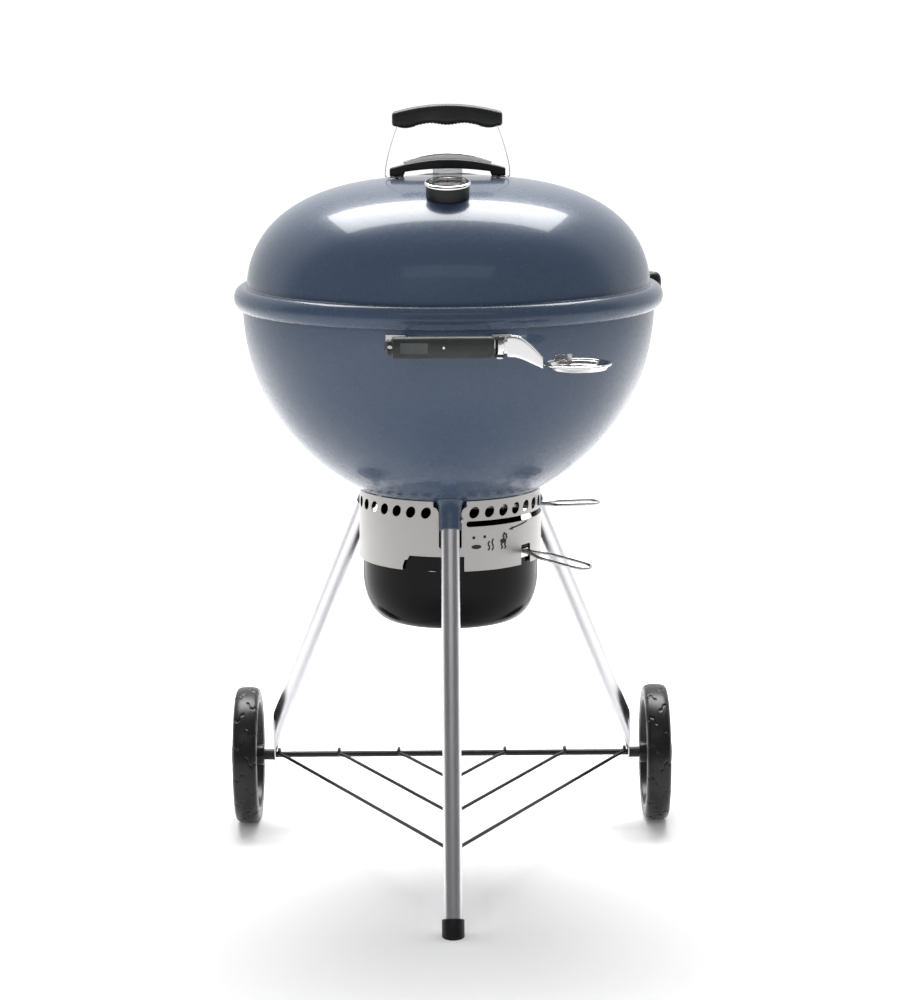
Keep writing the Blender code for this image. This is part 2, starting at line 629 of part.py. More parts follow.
def make_lid_handle():
    stations = [-1, -0.985, -0.95, -0.85, -0.72, -0.6, -0.45, -0.3, -0.15, 0]
    stations += [-value for value in reversed(stations[:-1])]
    rings = []
    for share in stations:
        x = share * GRIP_HALF
        shrink = 0.80 if abs(share) == 1 else (0.93 if abs(share) > 0.98 else 1.0)
        top, under = grip_top(x), grip_under(x)
        middle, half = (top + under) / 2, (top - under) / 2 * shrink
        ring = []
        for i in range(10):
            a = 2 * pi * i / 10
            u = abs(cos(a)) ** 0.6 * (1 if cos(a) >= 0 else -1)
            v = abs(sin(a)) ** 0.6 * (1 if sin(a) >= 0 else -1)
            ring.append((x, GRIP_HALF_DEPTH * shrink * u, middle + half * v))
        rings.append(ring)
    grip = place("lid_grip", lofted(rings), BLACK_PLASTIC)
    for side, name in ((-1, "left"), (1, "right")):
        top = grip_under(0) + STRAP_TUCK
        low = FLANGE_STRIP_Z + STRAP_BEND
        heights = [low + (grip_under(0) - low) * i / 6 for i in range(6, -1, -1)]
        path = [(side * strap_x(heights[0]), 0, top)]
        path += [(side * strap_x(height), 0, height) for height in heights]
        path.append((side * (STRAP_FOOT_X - 0.0012), 0, FLANGE_STRIP_Z + 0.0012))
        path.append((side * (STRAP_FOOT_X - 0.0045), 0, FLANGE_STRIP_Z))
        path.append((side * (ARCH_FOOT_INNER - 0.001), 0, FLANGE_STRIP_Z))
        band = swept(path, strip(2 * STRAP_HALF_WIDTH, STRAP_THICK), (0, 1, 0))
        strap = place(f"lid_strap_{name}", band, POLISHED)
        bolt_x = side * (ARCH_HALF - ARCH_FOOT / 2)
        bolt_hole = along(tube(0, BOLT_RADIUS + GAP, -0.01, 0.01, 12), (bolt_x, 0, FLANGE_STRIP_Z), (0, 0, 1))
        combine(strap, "DIFFERENCE", bolt_hole)
        pocket_x = side * strap_x(grip_under(0))
        half_x = STRAP_THICK / 2 + GAP + 0.0006
        low = (pocket_x - half_x, -STRAP_HALF_WIDTH - GAP, grip_under(0) - 0.02)
        high = (pocket_x + half_x, STRAP_HALF_WIDTH + GAP, top + GAP)
        combine(grip, "DIFFERENCE", box(low, high))
        bolt_profile = [
            (0, lid_height(abs(bolt_x), SHEET) - GAP - 0.0045),
            (2 * BOLT_RADIUS, lid_height(abs(bolt_x), SHEET) - GAP - 0.0045),
            (2 * BOLT_RADIUS, lid_height(abs(bolt_x) + 2 * BOLT_RADIUS, SHEET) - GAP - 0.0006),
            (BOLT_RADIUS, lid_height(abs(bolt_x) + 2 * BOLT_RADIUS, SHEET) - GAP - 0.0006),
            (BOLT_RADIUS, ARCH_FOOT_Z + 0.0060),
            (0, ARCH_FOOT_Z + 0.0060),
        ]
        bolt = along(turned(bolt_profile, steps=12), (bolt_x, 0, 0), (0, 0, 1))
        place(f"lid_bolt_{name}", bolt, STEEL)
    make_arch()


def make_arch():
    top = LID_APEX + ARCH_TOP
    inner = ARCH_FOOT_INNER - 0.003
    over = [(ARCH_HALF * i / 8, top - ARCH_SAG * (i / 8) ** 2) for i in range(-8, 9)]
    under = [(inner * i / 8, top - ARCH_THICK - 0.0046 * (i / 8) ** 2) for i in range(-8, 9)]
    outline = [(-ARCH_HALF, ARCH_FOOT_Z)] + over + [(ARCH_HALF, ARCH_FOOT_Z), (ARCH_FOOT_INNER, ARCH_FOOT_Z)]
    outline += list(reversed(under)) + [(-ARCH_FOOT_INNER, ARCH_FOOT_Z)]
    arch = place("lid_handle_arch", prism(outline, -ARCH_HALF_DEPTH, ARCH_HALF_DEPTH), BLACK_PLASTIC)
    for side in (-1, 1):
        x = side * (ARCH_HALF - ARCH_FOOT / 2)
        bore = along(tube(0, BOLT_RADIUS + GAP, -0.01, 0.0063, 12), (x, 0, ARCH_FOOT_Z), (0, 0, 1))
        combine(arch, "DIFFERENCE", bore)
    top = LID_APEX + SHIELD_TOP
    edge = [(SHIELD_HALF * i / 10, top - SHIELD_SAG * (i / 10) ** 2) for i in range(-10, 11)]
    foot = LID_APEX + ARCH_TOP - ARCH_THICK
    outline = edge + [(SHIELD_HALF * 0.9, foot), (-SHIELD_HALF * 0.9, foot)]
    back = ARCH_HALF_DEPTH + GAP
    place("lid_heat_shield", prism(outline, back, back + SHIELD_SHEET), POLISHED)


def make_damper():
    origin, direction = damper_frame()
    sag = 0.0022
    count = 3
    rows = [(DAMPER_RADIUS * i / count, -sag * (i / count) ** 2) for i in range(count + 1)]
    profile = [(radius, GAP + 0.0006 + z) for radius, z in rows]
    profile += [(radius, GAP + 0.0006 + DAMPER_SHEET + z) for radius, z in reversed(rows)]
    disc = turned(profile, steps=24)
    damper = place("lid_damper", along(disc, origin, direction), STEEL, origin)
    cut_damper_holes(damper, origin, direction)
    front = -DAMPER_RADIUS * 0.76
    tab = box((-DAMPER_TAB_HALF, front - 0.0012, 0.0004), (DAMPER_TAB_HALF, front + 0.0012, DAMPER_TAB_RISE))
    combine(damper, "UNION", along(tab, origin, direction))
    under = -SHEET - 0.0030
    rivet = turned(
        [
            (0, under - 0.0020),
            (2.2 * BOLT_RADIUS, under - 0.0020),
            (2.2 * BOLT_RADIUS, -SHEET - 0.0012),
            (BOLT_RADIUS, -SHEET - 0.0012),
            (BOLT_RADIUS, GAP * 2 + 0.0006 + DAMPER_SHEET),
            (2.2 * BOLT_RADIUS, GAP * 2 + 0.0006 + DAMPER_SHEET),
            (1.6 * BOLT_RADIUS, DAMPER_SHEET + 0.0042),
            (0, DAMPER_SHEET + 0.0048),
        ],
        steps=16,
    )
    place("lid_damper_rivet", along(rivet, origin, direction), STEEL)


def make_thermometer():
    origin, direction = gauge_frame()
    wall, floor, glass, dial = 0.0025, 0.0110, 0.0015, 0.0010
    housing = turned(
        [
            (PROBE_RADIUS + GAP, -0.02),
            (GAUGE_RADIUS, -0.02),
            (GAUGE_RADIUS, GAUGE_HEIGHT),
            (GAUGE_RADIUS - wall, GAUGE_HEIGHT),
            (GAUGE_RADIUS - wall, floor),
            (PROBE_RADIUS + GAP, floor),
        ],
        closed=True,
        steps=24,
    )
    housing = along(housing, origin, direction)
    slope = lid_slope(GAUGE_FROM_CENTRE)
    skin = Vector((0, -sin(slope), cos(slope)))
    below = bmesh.ops.bisect_plane(
        housing,
        geom=list(housing.verts) + list(housing.edges) + list(housing.faces),
        plane_co=origin + skin * GAP,
        plane_no=skin,
        clear_inner=True,
    )
    cut = [part for part in below["geom_cut"] if isinstance(part, bmesh.types.BMEdge)]
    bmesh.ops.bridge_loops(housing, edges=cut)
    place("thermometer_housing", housing, BLACK_PLASTIC)
    lens_low = GAUGE_HEIGHT - glass - GAP
    bezel = turned(
        [
            (GAUGE_RADIUS + GAP, GAUGE_HEIGHT - 0.0035),
            (BEZEL_RADIUS, GAUGE_HEIGHT - 0.0035),
            (BEZEL_RADIUS, GAUGE_HEIGHT + 0.0010),
            (BEZEL_RADIUS - 0.0015, GAUGE_HEIGHT + 0.0025),
            (GAUGE_RADIUS - wall - 0.0015, GAUGE_HEIGHT + 0.0025),
            (GAUGE_RADIUS - wall - 0.0020, GAUGE_HEIGHT + GAP),
            (GAUGE_RADIUS + GAP, GAUGE_HEIGHT + GAP),
        ],
        closed=True,
        steps=24,
    )
    place("thermometer_bezel", along(bezel, origin, direction), POLISHED)
    reach = GAUGE_RADIUS - wall - GAP
    place("thermometer_glass", along(tube(0, reach, lens_low, GAUGE_HEIGHT, 24), origin, direction), GLASS)
    dial_low = floor + GAP
    dial_disc = tube(PROBE_RADIUS + GAP, reach, dial_low, dial_low + dial, 24)
    place("thermometer_dial", along(dial_disc, origin, direction), DIAL_PAINT)
    needle_low = dial_low + dial + GAP
    probe = tube(0, PROBE_RADIUS, -PROBE_LENGTH, needle_low - GAP, 12)
    place("thermometer_probe", along(probe, origin, direction), STEEL)
    outline = [(-0.0160, 0.0), (-0.0030, -0.0028), (0.0060, -0.0010), (0.0060, 0.0010), (-0.0030, 0.0028)]
    needle = prism(outline, needle_low, needle_low + NEEDLE_SHEET, "z")
    place("thermometer_needle", along(needle, origin, direction), NEEDLE_PAINT, origin)


# ------------------------------------------------------------------ legs, axle, wheels, rack
def make_legs():
    foot_top = FOOT_HEIGHT / cos(radians(LEG_TILT))
    for name, angle in LEG_ANGLES.items():
        top, direction = socket_line(angle)
        length = top.z / cos(radians(LEG_TILT))
        if name == "front":
            end = -(length - FOOT_SOLE / cos(radians(LEG_TILT)) - LEG_TUBE * tan(radians(LEG_TILT)) - GAP)
            body = tube(LEG_TUBE - LEG_WALL, LEG_TUBE, end, -GAP, 16)
            leg = place("leg_front", along(body, top, direction), ALUMINIUM)
            rack_hole = along(tube(0, RACK_WIRE + GAP, -0.02, 0.02, 12), rack_tip(), (0, 1, 0))
            combine(leg, "DIFFERENCE", rack_hole)
            sole = -length - LEG_TUBE * 3
            cap = turned(
                [
                    (0, sole),
                    (LEG_TUBE + GAP + FOOT_WALL, sole),
                    (LEG_TUBE + GAP + FOOT_WALL, -length + foot_top),
                    (LEG_TUBE + GAP, -length + foot_top),
                    (LEG_TUBE + GAP, end - GAP),
                    (0, end - GAP),
                ],
                steps=16,
            )
            cap = along(cap, top, direction)
            slice_off(cap, (0, 0, 0), (0, 0, -1))
            place("foot_cap", cap, BLACK_PLASTIC)
        else:
            make_rear_leg(name, top, direction, length)
        screw_at = top + direction * (-SOCKET_LENGTH * 0.55)
        outwards = around(angle + 90, 1.0)
        shell = LEG_TUBE + GAP + SOCKET_WALL + GAP
        crown = shell + SCREW_RISE
        profile = [(0, shell), (SCREW_RADIUS, shell), (0.9 * SCREW_RADIUS, shell + 0.67 * SCREW_RISE)]
        screw = turned(profile + [(0.45 * SCREW_RADIUS, crown), (0, crown)], steps=12)
        place(f"leg_screw_{name}", along(screw, screw_at, outwards), STEEL)


def make_rear_leg(name, top, direction, length):
    side = 1 if name == "right" else -1
    body = along(tube(0, LEG_TUBE, -length - 0.03, -GAP, 16), top, direction)
    slice_off(body, (side * LEG_CUT_X, 0, 0), (side, 0, 0))
    leg = place(f"leg_{name}", body, ALUMINIUM)
    bore = tube(0, LEG_TUBE - LEG_WALL, -length - 0.06, 0.01, 16)
    combine(leg, "DIFFERENCE", along(bore, top, direction))
    lean = cos(radians(60)) * tan(radians(LEG_TILT))
    low = AXLE_Y, WHEEL_RADIUS
    high = AXLE_Y - TONGUE_RISE * lean, WHEEL_RADIUS + TONGUE_RISE
    turn = degrees(atan(lean))
    outline = arc(low, TONGUE_HALF, TONGUE_HALF, 180 + turn, 360 + turn, 6)
    outline += arc(high, TONGUE_TOP_HALF, TONGUE_TOP_HALF, turn, 180 + turn, 5)
    tongue = bmesh.new()
    near, far = side * (TONGUE_FACE - TONGUE_THICK), side * TONGUE_FACE
    face = tongue.faces.new([tongue.verts.new((near, y, z)) for y, z in outline])
    drawn = bmesh.ops.extrude_face_region(tongue, geom=[face])
    moved = [part for part in drawn["geom"] if isinstance(part, bmesh.types.BMVert)]
    bmesh.ops.translate(tongue, verts=moved, vec=(far - near, 0, 0))
    combine(leg, "UNION", tongue)
    hole = tube(0, AXLE_RADIUS + GAP, LEG_CUT_X - 0.02, LEG_CUT_X + 0.02, 16)
    combine(leg, "DIFFERENCE", along(hole, (0, AXLE_Y, WHEEL_RADIUS), (side, 0, 0)))


def make_wheels():
    cap_face = WHEEL_CENTRE_X + HUB_BOSS_WIDTH / 2
    axle = tube(0, AXLE_RADIUS, -cap_face + 0.0010, cap_face - 0.0010, 16)
    place("axle", along(axle, (0, AXLE_Y, WHEEL_RADIUS), (1, 0, 0)), BLACK_WIRE)
    bore = AXLE_RADIUS + GAP
    for side, name in ((-1, "left"), (1, "right")):
        centre = Vector((side * WHEEL_CENTRE_X, AXLE_Y, WHEEL_RADIUS))
        outwards = (side, 0, 0)
        inner = WHEEL_RADIUS - TYRE_DEPTH
        half = WHEEL_WIDTH / 2
        tyre = turned(
            [(inner, -half * 0.86)]
            + arc((WHEEL_RADIUS - 0.0090, -half + 0.0090), 0.0090, 0.0090, 250, 360, 2)
            + arc((WHEEL_RADIUS - 0.0090, half - 0.0090), 0.0090, 0.0090, 0, 110, 2)
            + [(inner, half * 0.86)],
            closed=True,
            steps=24,
        )
        place(f"wheel_{name}_tread", along(tyre, centre, outwards), TREAD, centre)
        rim = inner - GAP
        boss = HUB_BOSS_WIDTH / 2
        hub = turned(
            [
                (bore, -boss),
                (HUB_BOSS, -boss),
                (HUB_BOSS, -0.0040),
                (rim - 0.0060, -0.0040),
                (rim - 0.0045, -half * 0.9),
                (rim, -half * 0.9),
                (rim, half * 0.9),
                (rim - 0.0045, half * 0.9),
                (rim - 0.0060, 0.0040),
                (HUB_BOSS + 0.0055, 0.0060),
                (HUB_BOSS + 0.0055, half * 0.9),
                (bore, half * 0.9),
            ],
            closed=True,
            steps=24,
        )
        place(f"wheel_{name}_hub", along(hub, centre, outwards), TREAD, centre)
        cap_low = half * 0.9 + GAP
        cap = turned(
            [
                (0, boss - 0.0010 + GAP),
                (bore, boss - 0.0010 + GAP),
                (bore, cap_low),
                (HUB_BOSS + 0.0045, cap_low),
                (HUB_BOSS + 0.0030, boss + 0.0010),
                (0, boss + 0.0025),
            ],
            steps=20,
        )
        place(f"wheel_{name}_cap", along(cap, centre, outwards), GREY_PLASTIC, centre)
        bush_low = TONGUE_FACE + GAP
        bush_high = WHEEL_CENTRE_X - boss - GAP
        bush = tube(bore, BUSH_RADIUS, bush_low, bush_high, 20)
        place(f"axle_bush_{name}", along(bush, (0, AXLE_Y, WHEEL_RADIUS), outwards), GREY_PLASTIC)


def rack_tip():
    """Where the rack's middle wire enters the back of the front leg."""
    back = leg_radius(SPINE_HEIGHT) - LEG_TUBE / cos(radians(LEG_TILT))
    return Vector((0, -back, SPINE_HEIGHT))


def hook_path(x):
    """The end of a rack wire: over the axle and down behind it."""
    clear = AXLE_RADIUS + RACK_WIRE / cos(pi / WIRE_SIDES) + GAP + 0.0004
    turns = (165, 130, 95, 60, 20)
    return [(x, AXLE_Y + clear * cos(radians(a)), WHEEL_RADIUS + clear * sin(radians(a))) for a in turns]


def make_rack():
    tip = rack_tip()
    start_y = AXLE_Y - 0.0200
    front = tip.y + 1.3 * RACK_WIRE + GAP
    wires = []
    for i in range(3):
        peak = tip.y - 0.0180 + i * RACK_PITCH / RACK_SLOPE
        corner_y = front if i == 0 else peak + 0.0060
        corner_x = (corner_y - peak) * RACK_SLOPE
        start_x = (start_y - peak) * RACK_SLOPE
        hook_x = (AXLE_Y - peak) * RACK_SLOPE
        bend = [(-corner_x, corner_y, RACK_HEIGHT), (corner_x, corner_y, RACK_HEIGHT)]
        left = list(reversed(hook_path(-hook_x))) + [(-start_x, start_y, RACK_HEIGHT)]
        right = [(start_x, start_y, RACK_HEIGHT)] + hook_path(hook_x)
        wires.append(swept(left + bend + right, circle(RACK_WIRE)))
    rack = place("bottom_rack", wires[0], BLACK_WIRE)
    for wire in wires[1:]:
        combine(rack, "UNION", wire)
    spine_end = tip.y - 0.0180 + 2 * RACK_PITCH / RACK_SLOPE + 0.0300
    spine = [(0, tip.y - 3 * LEG_WALL, SPINE_HEIGHT), (0, spine_end, SPINE_HEIGHT)]
    combine(rack, "UNION", swept(spine, circle(RACK_WIRE * 0.98, 8)))


# ------------------------------------------------------------------ ash ring, pot and vents
def make_ring():
    inner = RING_RADIUS - RING_SHEET
    top = bowl_height(inner) - GAP
    ring = place("ash_ring", turned(ring_profile(inner, RING_RADIUS, RING_BOTTOM, top), True), STEEL)
    near, far = inner - 0.006, RING_RADIUS + 0.006
    for angle in LEG_ANGLES.values():
        low = bowl_height(LEG_TOP_RADIUS) - SOCKET_ROOF - NOTCH_DROP
        for half, floor in ((NOTCH_HALF_ANGLE, low), (NOTCH_MOUTH_ANGLE, top - NOTCH_MOUTH_DROP)):
            notch = sector(near, far, floor, top + 0.01, angle - half, angle + half, 4)
            combine(ring, "DIFFERENCE", notch)
        for i in range(10):
            at = angle + 15 + VENT_HOLE_STEP * i
            hole = tube(0, VENT_HOLE_RADIUS, near, far, 6)
            centre = (0, 0, BOWL_BOTTOM + VENT_HOLE_RISE)
            combine(ring, "DIFFERENCE", along(hole, centre, around(at, 1.0), (0, 0, 1)))
    low = LEVER_HEIGHT - SLOT_HEIGHT / 2
    combine(ring, "DIFFERENCE", sector(near, far, low, low + SLOT_HEIGHT, SLOT_START, SLOT_END, 24))
    low = RING_BOTTOM - 0.01
    recess = sector(near, far, low, RING_BOTTOM + RING_RECESS, RECESS_START, RECESS_END, 8)
    combine(ring, "DIFFERENCE", recess)
    start, end = POT_HANDLE_ANGLE - POT_NOTCH_HALF, POT_HANDLE_ANGLE + POT_NOTCH_HALF
    combine(ring, "DIFFERENCE", sector(near, far, low, RING_BOTTOM + POT_NOTCH_RISE, start, end, 4))


def loop_path(angle, root, neck, neck_end, half, reach, low, high):
    """Half-open wire loop pointing outwards at this angle, from low at its root to high at its end."""
    shape = ((0.0, neck / half), (0.18, 0.85), (0.35, 1.0), (0.80, 1.0), (0.95, 0.72))
    outline = [(root, neck)] + [(neck_end + share * (reach - neck_end), half * wide) for share, wide in shape]
    outline = outline + [(reach, 0.0)] + [(u, -w) for u, w in reversed(outline)]
    points = []
    for u, w in outline:
        height = low + (high - low) * (u - root) / (reach - root)
        points.append(around(angle, u, height) + around(angle + 90, w))
    return smooth(points, 2)


def make_pot():
    floor = BOWL_BOTTOM - POT_DROP
    top = floor + POT_HEIGHT
    centre = (POT_RADIUS - POT_CORNER_OUT, floor + POT_CORNER_UP)
    rim = RING_RADIUS - RING_SHEET - 0.0005
    outer = [(0, floor)] + arc(centre, POT_CORNER_OUT, POT_CORNER_UP, -90, 0, 5)
    outer += [(POT_RADIUS, top - 0.0035), (rim, top - 0.0025), (rim, top - 0.0005), (rim - 0.0010, top)]
    inner = [(POT_RADIUS - POT_SHEET, top)]
    inner += arc(centre, POT_CORNER_OUT - POT_SHEET, POT_CORNER_UP - POT_SHEET, 0, -90, 5)
    place("ash_pot", turned(outer + inner + [(0, floor + POT_SHEET)]), BLACK_ENAMEL)
    back = POT_RADIUS + GAP
    high = RING_BOTTOM + POT_HANDLE_RISE
    low = high - POT_HANDLE_FALL
    front = back + POT_PLATE_SHEET
    plate = turned_box((-0.0090, -front, high - 0.0090), (0.0090, -back, high + 0.0034), POT_HANDLE_ANGLE)
    handle = place("ash_pot_handle", plate, BRIGHT_WIRE)
    root = back + POT_PLATE_SHEET / 2
    half, reach = POT_HANDLE_HALF, POT_HANDLE_REACH
    path = loop_path(POT_HANDLE_ANGLE, root, POT_NECK, LOOP_NECK_END, half, reach, high, low)
    combine(handle, "UNION", swept(path, circle(HANDLE_WIRE)))


def make_vents():
    lift = 0.0016
    hub_reach = 0.0300
    root = SHAFT_RADIUS + GAP

    def skin(radii, raise_by, thick):
        low = [(r, bowl_height(r, SHEET) + raise_by) for r in radii]
        return low + [(r, z + thick) for r, z in reversed(low)]

    disc = turned(skin([root, 0.5 * hub_reach, hub_reach], lift, BLADE_SHEET), True, steps=24)
    blades = place("vent_blades", disc, STEEL)
    radii = [0.8 * hub_reach + (BLADE_REACH - 0.8 * hub_reach) * i / 4 for i in range(5)]
    for angle in (20, 140, 260):
        start = angle - BLADE_HALF_ANGLE
        blade = turned(skin(radii, lift + 0.0002, BLADE_SHEET - 0.0004), True, start, 2 * BLADE_HALF_ANGLE, 4)
        combine(blades, "UNION", blade)
    plate_top = LEVER_HEIGHT - 0.0010
    plate_low = plate_top - LEVER_SHEET
    plate = turned_box((-0.0100, -0.1130, plate_low), (0.0100, -0.0060, plate_top), LEVER_ANGLE)
    lever = place("vent_lever", plate, BRIGHT_WIRE)
    combine(lever, "UNION", tube(0, LEVER_HUB, plate_low - 0.0004, plate_top + 0.0002, 20))
    low = high = LEVER_HEIGHT
    path = loop_path(LEVER_ANGLE, LEVER_ROOT, LEVER_NECK, LOOP_NECK_END, LEVER_HALF, LEVER_REACH, low, high)
    combine(lever, "UNION", swept(path, circle(HANDLE_WIRE)))
    combine(lever, "DIFFERENCE", tube(0, SHAFT_RADIUS + GAP, plate_low - 0.01, plate_top + 0.01, 16))
    disc_top = bowl_height(root, SHEET) + lift + BLADE_SHEET + 0.0004
    low = plate_low - 0.0004 - GAP
    shaft = turned(
        [
            (0, low - SHAFT_HEAD_RISE),
            (SHAFT_HEAD, low - SHAFT_HEAD_RISE),
            (SHAFT_HEAD, low),
            (SHAFT_RADIUS, low),
            (SHAFT_RADIUS, disc_top),
            (SHAFT_HEAD, disc_top),
            (SHAFT_HEAD - 0.0015, disc_top + SHAFT_HEAD_RISE),
            (0, disc_top + SHAFT_HEAD_RISE + 0.0005),
        ],
        steps=16,
    )
    place("vent_shaft", shaft, STEEL)


# ------------------------------------------------------------------ grates
def chord_half(radius, across):
    return sqrt(max(radius**2 - across**2, 0.0))


def straight(start, end, radius, sides=WIRE_SIDES):
    return swept([start, end], circle(radius, sides))


def make_cooking_grate():
    z = GRATE_HEIGHT
    reach = GRATE_RADIUS - GRATE_WIRE
    edge = degrees(asin(FLAP_LINE / reach))
    front = [around(-edge + 2 * edge * i / 10, reach, z) for i in range(11)]
    back = [around(180 - edge + 2 * edge * i / 10, reach, z) for i in range(11)]
    grate = place("cooking_grate", swept(front + back, circle(GRATE_WIRE, 8), closed=True), STEEL)
    bar = GRATE_WIRE * 0.85
    count = int(FLAP_LINE / GRATE_PITCH)
    for i in range(-count, count + 1):
        x = i * GRATE_PITCH
        if abs(x) < FLAP_LINE - GRATE_PITCH / 3:
            end = chord_half(reach, x)
            combine(grate, "UNION", straight((x, -end, z), (x, end, z), bar))
    for y in (-GRATE_CROSS, GRATE_CROSS):
        low = z - 1.5 * GRATE_WIRE
        start, end = (-FLAP_LINE, y, low), (FLAP_LINE, y, low)
        combine(grate, "UNION", straight(start, end, GRATE_WIRE * 0.95))
    hinge_to_bar = 2 * GRATE_WIRE + GAP
    for side, name in ((-1, "left"), (1, "right")):
        near = FLAP_LINE + hinge_to_bar
        end = chord_half(reach, near)
        sweep = degrees(asin(near / reach))
        rim = [around(side * (sweep + (180 - 2 * sweep) * i / 14), reach, z) for i in range(15)]
        pivot = (side * FLAP_LINE, 0, z)
        flap = place(f"grate_flap_{name}", swept(rim, circle(GRATE_WIRE, 8), closed=True), STEEL, pivot)
        i = 1
        while near + i * GRATE_PITCH < reach - GRATE_PITCH:
            x = side * (near + i * GRATE_PITCH)
            end = chord_half(reach, x)
            combine(flap, "UNION", straight((x, -end, z), (x, end, z), bar))
            i += 1
        low = z - 1.4 * GRATE_WIRE
        start, end = (side * near, 0.004, low), (side * reach, 0.004, low)
        combine(flap, "UNION", straight(start, end, GRATE_WIRE * 0.95))


def make_charcoal_grate():
    reach = CHARCOAL_RADIUS - CHARCOAL_WIRE
    step = 0.001
    slope = (bowl_height(reach + step, SHEET) - bowl_height(reach - step, SHEET)) / (2 * step)
    z = bowl_height(reach, SHEET) + (CHARCOAL_WIRE + 0.0009) * hypot(1, slope)
    rim = [around(360 * i / ROUND, reach, z) for i in range(ROUND)]
    grate = place("charcoal_grate", swept(rim, circle(CHARCOAL_WIRE), closed=True), STEEL)
    count = int(reach / CHARCOAL_PITCH)
    for i in range(-count, count + 1):
        y = i * CHARCOAL_PITCH
        end = chord_half(reach, y) - 0.0008
        combine(grate, "UNION", straight((-end, y, z), (end, y, z), CHARCOAL_WIRE * 0.85))
    for x in (-CHARCOAL_CROSS, CHARCOAL_CROSS):
        end = chord_half(reach, x) - 0.0100
        low = z - 1.5 * CHARCOAL_WIRE
        combine(grate, "UNION", straight((x, -end, low), (x, end, low), CHARCOAL_WIRE * 0.95))


# ------------------------------------------------------------------ bowl handles and the dish
def make_handle(name, angle, left, right, finish):
    """A band bolted to the bowl with a moulded grip on its outside, made at the front and turned."""
    turn = Matrix.Rotation(radians(angle), 3, "Z")
    wall = bowl_radius(HANDLE_HEIGHT + BRACKET_HEIGHT / 2) + BRACKET_SHEET / 2 - FOOT_BEDDING
    half = HANDLE_BRACKET_HALF
    inner = degrees(asin(half / wall))
    foot = [around(-inner - 5.5 + 1.1 * i, wall, HANDLE_HEIGHT) for i in range(6)]
    corner = [(-half, -HANDLE_OUT + 0.006, HANDLE_HEIGHT), (-half + 0.006, -HANDLE_OUT, HANDLE_HEIGHT)]
    path = [Vector(point) for point in foot + corner]
    path += [Vector((-point.x, point.y, point.z)) for point in reversed(path)]
    band = swept(path, strip(BRACKET_HEIGHT, BRACKET_SHEET))
    bmesh.ops.rotate(band, cent=(0, 0, 0), matrix=turn, verts=band.verts)
    place(f"{name}_handle_bracket", band, STEEL)
    stations = [(-1.0, 0.42, 0.55), (-0.97, 0.62, 0.75), (-0.89, 0.70, 0.80), (-0.87, 0.92, 0.96)]
    stations += [(-0.6, 0.99, 1.0), (0.0, 1.0, 1.0), (0.7, 0.99, 1.0), (0.94, 0.93, 0.96), (1.0, 0.80, 0.85)]
    back = HANDLE_OUT + BRACKET_SHEET / 2 + GAP
    rings = []
    for share, tall, deep in stations:
        x = share * (left if share < 0 else right)
        ring = []
        for i in range(12):
            a = 2 * pi * i / 12
            u = abs(cos(a)) ** 0.55 * (1 if cos(a) >= 0 else -1)
            v = abs(sin(a)) ** 0.55 * (1 if sin(a) >= 0 else -1)
            depth = HANDLE_GRIP_DEPTH * deep / 2
            height = HANDLE_HEIGHT + HANDLE_GRIP_HEIGHT / 2 * tall * v
            ring.append(turn @ Vector((x, -back - depth * (1 + u), height)))
        rings.append(ring)
    return place(f"{name}_handle_grip", lofted(rings), finish)


